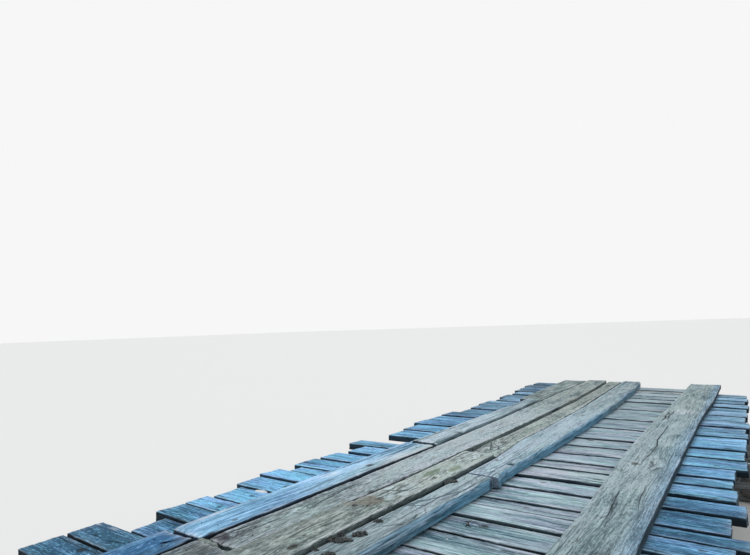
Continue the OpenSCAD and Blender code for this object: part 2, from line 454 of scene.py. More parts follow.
    def on_rings(self, top):
        """A table over the top, widened with zeros to the whole of each ring."""
        table = np.zeros(self.ring_across.shape)
        table[:, :top.shape[1]] = top
        return table

    def on_points(self, table, on_ends=0.0):
        return np.concatenate([table.ravel(), np.full(len(self.points) - table.size, on_ends)])

    def finished(self):
        """Points, faces and surface values, with the timber turned to lie as it should."""
        rng, look, total = self.rng, self.look, len(self.points)
        grain, wear = self.grain(), self.on_points(self.on_rings(self.wear()))
        tone, hue = rng.uniform(0, 1, 2)
        points = self.points
        if self.along == 1:
            points = points[:, [1, 0, 2]]
            tone = np.interp(points[:, 1], *np.transpose(look["tone"]))
            middle, width = (self.lo.mean() + self.hi.mean()) / 2, (self.hi - self.lo).mean()
            tone += look["slant"] * (points[:, 0] - middle) / width
        else:
            tone = tone + tone_along_bridge(points)
            beside_tracks = np.abs(points[:, 0] - TRACKS_MIDDLE) > TRACKS_REACH
            wear *= np.where(beside_tracks, 0.5, 1.0)
        sawn = np.zeros(self.ring_across.shape)
        sawn[[0, -1]] = 1
        x, y = points[:, 0], points[:, 1]
        return points, self.faces(), {
            "grain": grain, "knot": self.on_points(self.on_rings(self.knot)),
            "hollow": self.on_points(self.hollow()), "wear": np.maximum(wear, patches(x, y, WORN_AND_HIGHLIGHT)),
            "cut": self.on_points(sawn, 1.0), "tone": tone,
            "hue": np.full(total, look.get("hue", hue)), **dirt(x, y)}


def chance_cracks(rng, corners, along, count, wide, deep, taken=()):
    """Short drying cracks at random, kept apart and clear of the places taken."""
    rows, _, _ = outline(corners, along)
    start, end = rows[0, 0], rows[-1, 0]
    places = [p for p in rng.permutation(np.linspace(0.16, 0.84, count + len(taken) + 1))
              if all(abs(p - t) > 0.15 for t in taken)][:count]
    cracks = []
    for place in places:
        length = rng.uniform(0.25, 1.1)
        first = rng.choice([start, rng.uniform(start, end - length), end - length])
        stations = np.linspace(first, first + length, 6)
        shares = place + 0.03 * rng.uniform(-1, 1, 6)
        lo, hi = edges_at(rows, stations)
        path = np.stack([stations, lo + shares * (hi - lo)], 1).ravel()
        cracks.append((wide * rng.uniform(0.6, 1.2), deep * rng.uniform(0.6, 1.2), *path))
    return cracks


def chance_knots(rng, corners, along, count):
    rows, _, _ = outline(corners, along)
    knots = []
    for _ in range(count):
        station = rng.uniform(rows[0, 0] + 0.1, rows[-1, 0] - 0.1)
        lo, hi = edges_at(rows, station)
        knots.append((station, lo + rng.uniform(0.15, 0.85) * (hi - lo), rng.uniform(0.012, 0.024)))
    return knots


def seat_half(diameter):
    """Half the width that a log takes up in the notch of the log it crosses."""
    r = diameter / 2
    return math.sqrt(r ** 2 - (r - 2 * HEW) ** 2) + PLAY


def log_stations(start, end, seats):
    """A column of places along a log, close together at its ends and at each seat's walls."""
    rim = LOG_ARRIS * ROUNDING
    steps = [start + rim, end - rim, np.linspace(start + LOG_ARRIS, end - LOG_ARRIS,
                                                 round((end - start) / LOG_STEP))]
    for place, half, _, _ in seats:
        if half:
            for wall in (place - half, place + half):
                steps.append(np.array([wall - SEAT_WALL, wall + SEAT_WALL]))
    s = np.unique(np.round(np.concatenate(steps), 5))
    return s[(s >= start) & (s <= end)][:, None]


def log_skin(s, start, end, radius, rng):
    """The round of a log lying along x: points by row, and where knots, cracks and bark are."""
    turn = np.linspace(0, 2 * np.pi, LOG_SIDES, endpoint=False) + 0 * s

    def wrapped(cell_s, cell_turn):
        """Noise on the log's skin that closes round it."""
        both = ripple(rng, s, turn, cell_s, cell_turn)
        other = ripple(rng, s, turn, cell_s, cell_turn)
        blend = smooth(np.abs(turn - np.pi) / np.pi * 2 - 1)
        shifted = np.roll(other, LOG_SIDES // 2, 1)
        return both * (1 - blend) + shifted * blend

    shell = 0.010 + 0.004 * wrapped(0.9, 0.9) + 0.0015 * wrapped(0.5, 0.16)
    bark = smooth((wrapped(0.45, 0.7) + 0.6 * wrapped(0.12, 0.25) - 0.28) / 0.25)
    shell -= bark * (0.006 + 0.002 * wrapped(0.05, 0.13))
    knot = np.zeros_like(shell)
    for _ in range(round((end - start) / KNOT_EVERY)):
        at_s, at_turn = rng.uniform(start, end), rng.uniform(0, 2 * np.pi)
        size = rng.uniform(0.025, 0.045)
        round_by = np.abs((turn - at_turn + np.pi) % (2 * np.pi) - np.pi) * radius
        far = np.sqrt(((s - at_s) * 0.8) ** 2 + round_by ** 2)
        shell -= 0.009 * np.exp(-(far / size) ** 2)
        knot = np.maximum(knot, np.clip(1.3 - far / size, 0, 1))
    dark = np.zeros_like(shell)
    for _ in range(round((end - start) / CRACK_EVERY)):
        j = rng.integers(0, LOG_SIDES)
        length = rng.uniform(0.4, 1.6)
        first = rng.uniform(start - 0.2, end - length + 0.2)
        opened = np.clip((s - first) / 0.2, 0, 1) * np.clip((first + length - s) / 0.2, 0, 1)
        # The crack is sunk, and darkened with painted shade in it and beside it
        shell[:, [j]] += 0.022 * opened
        dark[:, [j]] += opened
        for k in (-1, 1):
            beside = [(j + k) % LOG_SIDES]
            turn[:, beside] -= k * 0.55 * opened * (2 * np.pi / LOG_SIDES)
            dark[:, beside] += 0.3 * opened
    ends = np.minimum(s - start, end - s)
    shell += LOG_ARRIS * quarter_drop(np.clip(ends / LOG_ARRIS, 0, 1))
    reach = radius - np.clip(shell, 0, None)
    bow = 0.004 * waver(rng, s, 1.4)
    skin = np.stack([s + 0 * turn, reach * np.sin(turn) + bow, reach * np.cos(turn)], 2)
    return skin, knot, dark, bark


def log_ends(skin, rng):
    """Points of both sawn ends, drawn in by rings to the heart, with a few radial checks."""
    parts = []
    for row, sign in ((0, 1), (-1, -1)):
        disc = skin[row][None] * np.array([0, 1, 1]) * END_RINGS[:, None, None]
        disc[..., 0] = skin[row, :, 0] + sign * (
            0.004 + 0.003 * ripple(rng, disc[..., 1], disc[..., 2], 0.09, 0.05))
        for j in rng.integers(0, LOG_SIDES, 4):
            disc[1:4, j, 0] += sign * 0.014
        parts += [disc.reshape(-1, 3), np.array([[skin[row, 0, 0] + sign * 0.006, 0, 0]])]
    return np.concatenate(parts)


def log_faces(n_rows):
    index = np.arange(n_rows * LOG_SIDES).reshape(n_rows, LOG_SIDES)
    faces = quads(index, closed=True)
    on_disc = len(END_RINGS) * LOG_SIDES
    for number, row in enumerate((0, n_rows - 1)):
        base = n_rows * LOG_SIDES + number * (on_disc + 1)
        loops = np.concatenate([index[row][None],
                                base + np.arange(on_disc).reshape(-1, LOG_SIDES)])
        faces += quads(loops, closed=True)
        faces += [(int(a), int(b), base + on_disc)
                  for a, b in zip(loops[-1], np.roll(loops[-1], -1))]
    return faces


def round_log(low, high, along, rng, seats, from_top=True):
    """A weathered round log in the box of a CAD log: points, faces, surface values.

    seats: place along, half width, height, and 1 for a seat cut from above or -1 from below.
    A half width of 0 is a seat as long as the log.
    from_top: whether the log's own round reaches the top of the box or its underside."""
    cross = 1 - along
    radius = (high[cross] - low[cross]) / 2
    heart = high[2] - radius if from_top else low[2] + radius
    s = log_stations(low[along], high[along], seats)
    twist = 0.25 * rng.uniform(-1, 1)
    skin, knot, dark, bark = log_skin(s, low[along], high[along], radius, rng)
    points = np.concatenate([skin.reshape(-1, 3), log_ends(skin, rng)])
    total = len(points)

    # Hew the seats flat
    z = points[:, 2] + heart
    hewn = np.zeros(total)
    for place, half, height, side in seats:
        inside = np.abs(points[:, 0] - place) < half if half else np.full(total, True)
        cut = inside & ((z - height) * side > 0)
        z[cut] = height
        hewn[cut] = 1

    spin = twist * (points[:, 0] - low[along])
    y, up = points[:, 1], z - heart
    grain = np.stack([points[:, 0] + rng.uniform(20, 900), y * np.cos(spin) - up * np.sin(spin),
                      y * np.sin(spin) + up * np.cos(spin)], 1)
    world = np.zeros_like(points)
    world[:, along], world[:, 2] = points[:, 0], z
    world[:, cross] = y + (high[cross] + low[cross]) / 2

    def on_points(table, on_ends=0.0):
        return np.concatenate([table.ravel(), np.full(total - table.size, on_ends)])

    sawn = np.zeros(skin.shape[:2])
    sawn[[0, -1]] = 1
    values = {"grain": grain, "knot": on_points(knot) * (1 - hewn), "hollow": on_points(dark),
              "wear": 0.5 * hewn, "cut": on_points(sawn, 1.0), "bark": on_points(bark) * (1 - hewn),
              "tone": np.full(total, rng.uniform(0, 1)), "hue": np.full(total, rng.uniform(0, 1))}
    return world, log_faces(len(s)), values


# Where mud lies on the boards: x, y, half length along x and y, strength
MUD = [(-0.277, -2.305, 0.082, 0.086, 1.0), (-0.35, -2.40, 0.070, 0.045, 0.75)]
# Green algae stains, rotten dark stains, faces worn pale, some with a painted highlight, and crazed
# faces in the same way
ALGAE = [(-0.25, -1.60, 0.040, 0.13, 1.0), (-0.16, -1.42, 0.035, 0.10, 1.0)]
STAINS = [(-0.640, -3.135, 0.080, 0.060, 1.0), (-0.575, -3.28, 0.08, 0.08, 0.5),
          (-0.307, -2.42, 0.018, 0.022, 1.0), (-0.785, -3.26, 0.05, 0.06, 0.4)]
WORN_AND_HIGHLIGHT = [(-0.865, -1.99, 0.035, 0.11, 1.0), (-0.935, -2.98, 0.028, 0.22, 0.8),
        (-0.217, -1.16, 0.035, 0.06, 0.9), (-0.237, -0.94, 0.04, 0.05, 0.9),
        (-0.181, -1.02, 0.03, 0.05, 0.8), (0.125, -1.40, 0.03, 0.015, 1.0),
        (0.05, -2.22, 0.04, 0.05, 0.5), (-1.672, -3.228, 0.035, 0.015, 0.8),
        (-1.513, -3.216, 0.045, 0.012, 0.9), (0.965, 2.13, 0.12, 0.22, 1.0)]
CRAZING = [(-0.22, -0.62, 0.09, 0.22, 0.9), (-0.215, -1.06, 0.09, 0.26, 1.0),
           (-0.24, -2.06, 0.10, 0.22, 0.9), (0.02, -1.25, 0.10, 0.14, 0.6),
           (-0.06, -2.15, 0.07, 0.14, 0.7)]


def patches(x, y, spots):
    """How strongly a place lies in one of the spots, from 0 to 1."""
    total = 0.0 * (x + y)
    for at_x, at_y, wide, long, strength in spots:
        far = ((x - at_x) / wide) ** 2 + ((y - at_y) / long) ** 2
        total = np.maximum(total, strength * np.exp(-far ** 2))
    return total


# How much paler or darker the planks are left of the tracks, between them and right of them: y,
# tone
LEFT_TONES = ((-2.95, -1.2), (-2.88, -0.5), (-2.65, -0.1), (-2.5, 0.35), (-0.2, 0.35),
               (1.5, -0.5), (2.2, -0.75), (3.2, -0.5))
MIDDLE_TONES = ((-2.2, -0.28), (-1.8, 0.1), (-1.3, 0.6), (-0.3, 0.8), (0.2, 0.44), (1.2, 0.2),
                 (1.8, -0.35), (2.7, -0.4), (3.4, 0.3))
RIGHT_TONES = ((-1.6, -0.78), (-1.1, -1.5), (-0.85, 0.1), (-0.5, 0.6), (0.0, 0.0), (0.6, 0.0),
                (1.1, 0.8), (1.5, -0.6), (2.2, -0.5), (2.6, 0.0))


def tone_along_bridge(points):
    """How much paler or darker the planks are along the bridge, on each side of the tracks."""
    x, y = points[:, 0], points[:, 1]
    left, right = smooth((-0.9 - x) / 0.15), smooth((x - 1.1) / 0.1)
    zones = ((left, LEFT_TONES), ((1 - left) * (1 - right), MIDDLE_TONES),
             (right, RIGHT_TONES))
    return sum(share * np.interp(y, *np.transpose(rows)) for share, rows in zones)


def dirt(x, y):
    """Dust between the tracks, with mud, stains and algae where they lie."""
    dust = smooth((x + 0.95) / 0.3) * smooth((1.2 - x) / 0.2)
    dust *= np.maximum(smooth((y + 2.7) / 1.4), smooth((x + 0.66) / 0.02))
    dust = np.maximum(dust * (1 + 1.4 * smooth((y - 0.8) / 2)), 0.4 * smooth((y - 0.3) / 2))
    return {"dust": dust, "mud": patches(x, y, MUD), "algae": patches(x, y, ALGAE),
            "crazing": patches(x, y, CRAZING), "stain": patches(x, y, STAINS)}


class Value:
    """What a node works out at each point, a number or three, ready for plain sums."""

    def __init__(self, wiring, socket):
        self.wiring, self.socket = wiring, socket

    def worked(self, operation, a, b=None):
        kind = "ShaderNodeMath" if self.socket.type == "VALUE" else "ShaderNodeVectorMath"
        return self.wiring.node(kind, (a, b), operation=operation)

    def __add__(self, other):
        return self.worked("ADD", self, other)

    def __sub__(self, other):
        return self.worked("SUBTRACT", self, other)

    def __rsub__(self, other):
        return self.worked("SUBTRACT", other, self)

    def __mul__(self, other):
        return self.worked("MULTIPLY", self, other)

    def __abs__(self):
        return self.worked("ABSOLUTE", self)

    __radd__, __rmul__ = __add__, __mul__


class Wiring:
    """A node tree, laid out node by node."""

    def __init__(self, tree):
        self.tree = tree

    def node(self, kind, inputs=(), output=0, **settings):
        """Adds a node. inputs go by order, or in a dict by name or number."""
        node = self.tree.nodes.new(kind)
        for key, value in settings.items():
            setattr(node, key, value)
        for key, value in inputs.items() if isinstance(inputs, dict) else enumerate(inputs):
            self.put(node.inputs[key], value)
        return Value(self, node.outputs[output])

    def put(self, socket, value):
        if isinstance(value, Value):
            self.tree.links.new(value.socket, socket)
        elif value is not None:
            socket.default_value = value


class Recipe(Wiring):
    """A material."""

    def __init__(self, name, roughness, specular=0.25):
        self.material = bpy.data.materials.new(name)
        self.material.use_nodes = True
        super().__init__(self.material.node_tree)
        self.shader = self.tree.nodes["Principled BSDF"]
        self.shader.inputs["Roughness"].default_value = roughness
        self.shader.inputs["Specular IOR Level"].default_value = specular

    def field(self, name, vector=False):
        """A surface value stored on the piece."""
        return self.node("ShaderNodeAttribute", output=1 if vector else 2, attribute_name=name)

    def place(self):
        return self.node("ShaderNodeTexCoord", output=3)

    def maths(self, operation, a, b=None, clamp=False):
        return self.node("ShaderNodeMath", (a, b), operation=operation, use_clamp=clamp)

    def length(self, vector):
        return self.node("ShaderNodeVectorMath", (vector,), 1, operation="LENGTH")

    def noise(self, vector, stretch, detail=2.0, rough=0.5, colour=False):
        return self.node("ShaderNodeTexNoise", (vector * stretch, None, 1.0, detail, rough),
                         1 if colour else 0)

    def cells(self, vector, feature):
        return self.node("ShaderNodeTexVoronoi", (vector, None, 1.0), feature=feature)

    def between(self, value, low, high):
        """0 up to low, 1 from high on, smooth in between."""
        return self.node("ShaderNodeMapRange", (value, low, high, 0.0, 1.0),
                         interpolation_type="SMOOTHSTEP")

    def mix(self, share, a, b, blend="MIX"):
        node = self.tree.nodes.new("ShaderNodeMix")
        node.data_type, node.blend_type = "RGBA", blend
        self.put(node.inputs[0], share)
        for socket, colour in zip(node.inputs[6:8], (a, b)):
            self.put(socket, colour if isinstance(colour, Value) else rgba(colour))
        return Value(self, node.outputs[2])

    def tinted(self, colour, by):
        return self.mix(1.0, colour, by, "MULTIPLY")

    def ramp(self, value, *stops):
        node = self.tree.nodes.new("ShaderNodeValToRGB")
        band = node.color_ramp
        while len(band.elements) < len(stops):
            band.elements.new(0.5)
        for element, (place, colour) in zip(band.elements, stops):
            element.position, element.color = place, rgba(colour)
        self.put(node.inputs[0], value)
        return Value(self, node.outputs[0])

    def finish(self, colour, relief, distance):
        """Takes the last colour and relief, and gives the finished material."""
        bump = self.node("ShaderNodeBump", {"Strength": 1.0, "Distance": distance,
                                            "Height": relief})
        self.put(self.shader.inputs["Normal"], bump)
        self.put(self.shader.inputs["Base Color"], colour)
        return self.material


def rgba(colour):
    return (*colour, 1.0)


def shade(colour, by):
    return [c * by for c in colour]


def crossing_cracks(mat, lines):
    """1 on thin ragged lines through the points of each path, 0 beside them."""
    place = mat.place()
    ragged = mat.noise(place, (34, 34, 34), 3.0, 0.6, colour=True) - (0.5, 0.5, 0.5)
    place = place * (1, 1, 0) + ragged * (0.014, 0.014, 0.0)
    nearest = None
    for path in lines:
        for first, last in zip(path, path[1:]):
            leg = Vector((*last, 0)) - Vector((*first, 0))
            offset = place - (*first, 0)
            share = mat.node("ShaderNodeVectorMath", (offset, leg / leg.length_squared), 1,
                             operation="DOT_PRODUCT")
            share = mat.maths("MULTIPLY", share, 1.0, clamp=True)
            along = mat.node("ShaderNodeVectorMath", (share, leg), operation="MULTIPLY")
            away = mat.length(offset - along)
            nearest = away if nearest is None else mat.maths("MINIMUM", nearest, away)
    return 1.0 - mat.between(nearest, 0.002, 0.009)


# The finish of sawn timber. dark, mid and pale are the greys of one timber, other the mid
# grey of a timber of another hue, flank the colour of its sides, less bleached wood darkened as
# painted shade, and end its sawn ends, or None where they are like its sides. dusty is how much
# dust shows, flecks how much the face is pitted and fleck how fine the pits are. clean tints it
# where no dust lies. run is how many times a streak of the grain ends in a metre, soft how gently
# its tones pass into each other, relief_m how deep the grain is weathered and cast how much its
# hue wanders between green and pink. side is how upright a face starts and ends to take the
# flank's colour, and lines are cracks across the grain, each as x and y along its path, drawn
# dark as painted shade.
SAWN_FINISH = {"end": None, "dusty": 0.0, "flecks": 0.3, "fleck": (24, 95, 95),
               "clean": (1.0, 1.0, 1.0), "run": 2.2, "soft": 0.1, "relief_m": 0.009,
               "cast": 0.4, "side": (0.10, 0.55), "lines": ()}
# The middle of the tint, where a timber has its mid grey
MID_TINT = 0.46


def wood_marks(mat, look):
    """The marks of old sawn wood by name, each a number, and the grain they lie in."""
    # The grain wanders, and growth rings lie round the heart
    grain = mat.field("grain", True)
    wander = mat.noise(grain, (0.9, 4, 4), colour=True) - (0.5, 0.5, 0.5)
    line = grain + wander * (0.0, 0.045, 0.045)
    ring = mat.length(line * (0, 1, 1)) + 0.012 * mat.noise(line, (0.5, 30, 30))

    # Fine checks open along the grain where a slow noise lets them
    vein = abs(mat.noise(line, (1.5, 62, 62), 1.0, 0.4) - 0.5)
    allow = mat.between(mat.noise(grain, (1.1, 9, 9), 1.0), 0.42, 0.62)
    return SimpleNamespace(
        grain=grain, ring=mat.maths("PINGPONG", 85.0 * ring, 0.5),
        streak=mat.noise(line, (look.run, 75, 75), 4.0, 0.68),
        fibre=mat.noise(line, (4 * look.run, 260, 260), 2.0, 0.6),
        pit=mat.noise(line, look.fleck, 3.0, 0.72),
        blotch=mat.noise(grain, (1.8, 7, 7), 3.0, 0.55),
        crumble=mat.noise(grain, (30, 30, 30), 4.0, 0.7),
        check=(1.0 - mat.between(vein, 0.004, 0.022)) * allow)


def bleached_wood(mat, look, marks, tint):
    """The greys of the face, its hue, its pits and its tint where it is clean."""
    wood = mat.ramp(tint, (MID_TINT - look.soft, look.dark), (MID_TINT, look.mid),
                    (MID_TINT + 1.2 * look.soft, look.pale))
    wood = mat.mix(0.75 * mat.between(mat.field("hue"), 0.45, 1.0), wood,
                   mat.tinted(wood, [o / m for o, m in zip(look.other, look.mid)]))
    sunk, raised = mat.between(marks.pit, 0.52, 0.62), mat.between(marks.pit, 0.46, 0.36)
    wood = mat.mix(0.85 * look.flecks * sunk, wood, shade(look.dark, 0.5))
    wood = mat.mix(0.6 * look.flecks * raised, wood, shade(look.pale, 1.15))
    wood = mat.mix(mat.field("dust"), mat.tinted(wood, look.clean), wood)
    hues = mat.ramp(mat.noise(marks.grain, (1.6, 10, 10), 3.0, 0.6),
                    (0.40, (0.90, 1.03, 0.98)), (0.60, (1.15, 0.98, 1.06)))
    return mat.mix(look.cast, wood, mat.tinted(wood, hues))


def deeper_and_shaded_sides(mat, look, tint, wood):
    """Upright faces take the flank colour: wood less bleached by sun and rain, darkened as painted
    shade.
    """
    up = mat.node("ShaderNodeSeparateXYZ", (mat.node("ShaderNodeNewGeometry", output=1),), 2)
    side = 1.0 - mat.between(up, *look.side)
    side_wood = mat.ramp(tint, (0.36, shade(look.flank, 0.4)), (MID_TINT, look.flank),
                         (0.60, shade(look.flank, 1.7)))
    return mat.mix(0.9 * side, wood, side_wood)


def dirty_wood(mat, look, marks, wood):
    """Dust, mud, stains and algae, and how thick the mud lies."""
    dust = mat.field("dust") * mat.between(marks.blotch, 0.30, 0.62)
    wood = mat.mix(dust * look.dusty, wood,
                   mat.ramp(0.6 * marks.streak + 0.4 * marks.pit, (0.42, (0.14, 0.175, 0.165)),
                            (0.58, (0.50, 0.590, 0.560))))
    edge = 0.9 * (marks.crumble - 0.5)
    mud = mat.between(mat.field("mud") + edge, 0.30, 0.45)
    wood = mat.mix(mud, wood, mat.ramp(marks.crumble, (0.38, (0.14, 0.15, 0.135)),
                                       (0.58, (0.30, 0.315, 0.28))))
    stain = mat.between(mat.field("stain") + edge, 0.30, 0.65)
    wood = mat.mix(0.9 * stain, wood, mat.ramp(marks.crumble, (0.40, (0.02, 0.02, 0.03)),
                                               (0.60, (0.12, 0.125, 0.135))))
    algae = mat.between(mat.field("algae") + edge, 0.35, 0.75)
    return mat.mix(0.6 * algae, wood, (0.13, 0.19, 0.10)), mud


def crazed_wood(mat, look, marks, wood):
    """Fine crossing cracks, darkened as painted shade, and flakes where the face has crazed, and
    where they are.
    """
    grain = marks.grain
    jumbled = grain + mat.noise(grain, (9, 20, 20), 3.0, colour=True) * (0.05, 0.03, 0.03)
    cells = mat.cells(jumbled * (9, 30, 30), "DISTANCE_TO_EDGE")
    crazing = mat.between(mat.field("crazing"), 0.2, 0.7)
    crazed = (1.0 - mat.between(cells, 0.01, 0.07)) * crazing
    flakes = mat.noise(grain, (10, 36, 36), 1.0)
    raised, valley = mat.between(flakes, 0.48, 0.56), mat.between(flakes, 0.44, 0.38)
    wood = mat.mix(0.65 * (raised * crazing), wood, shade(look.pale, 1.15))
    wood = mat.mix(0.6 * (valley * crazing), wood, shade(look.dark, 1.1))
    # Painted shade in the crazing cracks
    wood = mat.mix(0.45 * crazed, wood, shade(look.dark, 0.6))
    if look.lines:
        crossed = crossing_cracks(mat, look.lines)
        crazed = mat.maths("MAXIMUM", crazed, crossed)
        # Painted shade in the cracks across the grain
        wood = mat.mix(0.85 * crossed, wood, shade(look.dark, 0.5))
    return wood, crazed


def wear_shade_and_knots(mat, look, marks, wood):
    """Worn edges go pale with a painted highlight, cracks, checks and flanks go dark with painted
    shade, knots brown.
    """
    wear = mat.field("wear") * mat.between(marks.streak, 0.35, 0.62)
    wood = mat.mix(0.7 * wear, wood, [min(1, c * f) for c, f in zip(look.pale, (1.5, 1.3, 1.3))])
    hollow = mat.maths("MAXIMUM", mat.field("hollow"), 0.72 * marks.check, clamp=True)
    wood = mat.mix(hollow, wood, shade(look.flank, 0.25))
    knot = mat.field("knot") + 0.6 * (marks.pit - 0.5)
    eye = mat.ramp(knot, (0.25, (1, 1, 1)), (0.5, (0.72, 0.70, 0.68)), (0.66, (0.22, 0.19, 0.18)),
                   (0.85, (0.50, 0.46, 0.42)), (1.0, (0.25, 0.22, 0.20)))
    return mat.tinted(wood, eye)


def sawn_ends(mat, look, marks, wood):
    end = look.end or look.flank
    rays = mat.noise(marks.grain, (3, 45, 45), 3.0, 0.7)
    end_wood = mat.ramp(0.8 * (marks.ring + rays), (0.3, shade(end, 0.45)),
                        (0.7, shade(end, 1.3)), (0.95, look.mid))
    return mat.mix(0.8 * mat.field("cut"), wood, end_wood)


def weathered_wood(name, **own):
    """Old sawn timber, with a finish as SAWN_FINISH explains it."""
    look = SimpleNamespace(**{**SAWN_FINISH, **own})
    mat = Recipe(name, roughness=0.86)
    marks = wood_marks(mat, look)
    tint = (0.62 * marks.streak + 0.26 * marks.fibre + 0.12 * marks.ring
            + 0.45 * (marks.blotch - 0.5) + 0.1 * (mat.field("tone") - 0.5))
    wood = bleached_wood(mat, look, marks, tint)
    wood = deeper_and_shaded_sides(mat, look, tint, wood)
    wood, mud = dirty_wood(mat, look, marks, wood)
    wood, crazed = crazed_wood(mat, look, marks, wood)
    wood = wear_shade_and_knots(mat, look, marks, wood)
    wood = sawn_ends(mat, look, marks, wood)
    relief = (0.9 * marks.streak + 0.3 * marks.fibre + 0.25 * marks.ring - 0.9 * marks.check
              - 0.5 * crazed - 1.4 * look.flecks * marks.pit + 0.8 * (mud * marks.crumble))
    return mat.finish(wood, relief, look.relief_m)


def log_wood(name, dark, mid, pale, bark_dark, bark_pale):
    """A peeled log gone grey, with bark left in patches."""
    mat = Recipe(name, roughness=0.88)
    grain = mat.field("grain", True)
    wander = mat.noise(grain, (1.0, 5, 5), colour=True) - (0.5, 0.5, 0.5)
    line = grain + wander * (0.0, 0.05, 0.05)
    streak = mat.noise(line, (1.3, 34, 34), 4.0, 0.62)
    fibre = mat.noise(line, (6, 240, 240), 2.0, 0.6)
    blotch = mat.noise(grain, (2.2, 5, 5), 3.0, 0.6)
    tint = 0.55 * streak + 0.2 * fibre + 0.25 * blotch + 0.1 * (mat.field("tone") - 0.5)
    wood = mat.ramp(tint, (0.32, dark), (0.5, mid), (0.68, pale))
    wood = mat.mix(0.6 * mat.field("wear"), wood, mat.mix(streak, mid, shade(pale, 1.5)))

    # Bark, lichen, cracks and knots
    furrow = mat.noise(grain, (14, 40, 40), 4.0, 0.65)
    bark_tint = 0.5 * mat.cells(line * (16, 42, 42), "F1") + 0.6 * furrow
    bark = mat.between(mat.field("bark") + 0.8 * (furrow - 0.5), 0.4, 0.6)
    wood = mat.mix(bark, wood, mat.ramp(bark_tint, (0.3, bark_dark), (0.8, bark_pale)))
    lichen = mat.between(mat.noise(grain, (9, 14, 14), 4.0, 0.7), 0.60, 0.70)
    wood = mat.mix(0.35 * lichen, wood, (0.26, 0.31, 0.24))
    # Painted shade in the cracks
    hollow = mat.maths("MINIMUM", mat.field("hollow"), 1.0, clamp=True)
    wood = mat.mix(hollow, wood, shade(dark, 0.2))
    wood = mat.mix(0.7 * mat.field("knot"), wood, shade(mid, 0.45))

    # Growth rings on the sawn ends
    ring = mat.maths("PINGPONG", 95.0 * mat.length(line * (0, 1, 1)), 0.5)
    end_wood = mat.ramp(ring + 0.5 * furrow, (0.25, shade(dark, 0.6)), (0.75, mid), (1.0, pale))
    wood = mat.mix(0.85 * mat.field("cut"), wood, end_wood)
    relief = 0.8 * streak + 0.3 * fibre + bark * (2.0 * bark_tint)
    return mat.finish(wood, relief, 0.007)


def plain_finish(name, dark, pale, stretch, relief_m, roughness, soft=0.18):
    """Mud, rust or twig bark: two colours by a rough noise, and a matching relief."""
    mat = Recipe(name, roughness)
    rough = mat.noise(mat.place(), stretch, 5.0, 0.7)
    return mat.finish(mat.ramp(rough, (0.5 - soft, dark), (0.5 + soft, pale)), rough, relief_m)


# Cracks across the grain: x and y along each path
TRACK_LINES = [
    [(-0.321, -2.107), (-0.266, -2.064), (-0.188, -2.008)], [(-0.204, -2.26), (-0.155, -2.225)],
    [(-0.221, -0.647), (-0.319, -0.397)],
    [(-0.288, -0.426), (-0.200, -0.52), (-0.158, -0.635)], [(-0.374, -0.726), (-0.241, -0.777)],
]
INNER_LINES = [
    [(-0.077, -2.098), (-0.023, -2.044), (0.016, -1.948), (0.064, -1.796)],
    [(-0.071, -2.197), (0.002, -2.145)], [(-0.03, -2.535), (0.027, -2.49), (0.05, -2.46)],
    [(0.045, -2.30), (0.062, -2.36)], [(0.042, -2.20), (0.066, -2.235)],
    [(0.126, -1.463), (0.106, -1.363), (0.111, -1.303), (0.179, -1.324)],
]
RIGHT_LINES = [
    [(0.796, -0.449), (0.86, -0.475), (0.918, -0.516)], [(0.967, -0.392), (0.998, -0.473)],
]

# Finishes. SAWN_FINISH explains those of sawn timber. Logs have dark, mid and pale greys and
# a dark and a pale bark. The others have a dark and a pale colour, how fine their pattern is,
# how deep its relief is in metres, and how rough they are.
# Each flank colour is painted shade as much as wood: near black on planks, dark on most boards, a
# shaded sky blue on the inner boards
PLANK_WOOD = weathered_wood(
    "weathered deck plank", dark=(0.040, 0.098, 0.142), mid=(0.238, 0.352, 0.430),
    pale=(0.53, 0.69, 0.79), other=(0.262, 0.325, 0.340), flank=(0.018, 0.046, 0.072),
    dusty=0.2, flecks=0.5, clean=(0.57, 1.02, 1.36), run=3.0, soft=0.11, relief_m=0.006,
    cast=1.0)
OUTER_WOOD = weathered_wood(
    "bleached outer board", dark=(0.055, 0.135, 0.190), mid=(0.255, 0.385, 0.455),
    pale=(0.58, 0.70, 0.74), other=(0.16, 0.36, 0.50), flank=(0.025, 0.05, 0.09),
    dusty=0.15, flecks=0.4, clean=(0.74, 1.06, 1.42))
SILVER_WOOD = weathered_wood(
    "silvered outer board", dark=(0.13, 0.19, 0.22), mid=(0.285, 0.40, 0.465),
    pale=(0.53, 0.68, 0.77), other=(0.30, 0.38, 0.36), flank=(0.028, 0.066, 0.090),
    dusty=0.15, flecks=0.5, side=(0.90, 0.997))
TRACK_WOOD = weathered_wood(
    "dusty track board", dark=(0.085, 0.118, 0.130), mid=(0.262, 0.350, 0.385),
    pale=(0.56, 0.69, 0.75), other=(0.275, 0.350, 0.318), flank=(0.044, 0.078, 0.088),
    dusty=0.4, flecks=0.85, run=13.0, fleck=(30, 125, 125), lines=TRACK_LINES)
INNER_WOOD = weathered_wood(
    "split inner board", dark=(0.10, 0.158, 0.195), mid=(0.255, 0.365, 0.430),
    pale=(0.48, 0.64, 0.75), other=(0.28, 0.355, 0.38), flank=(0.062, 0.235, 0.385),
    dusty=0.25, flecks=0.7, run=4.0, side=(0.78, 0.94), end=(0.20, 0.24, 0.31),
    lines=INNER_LINES)
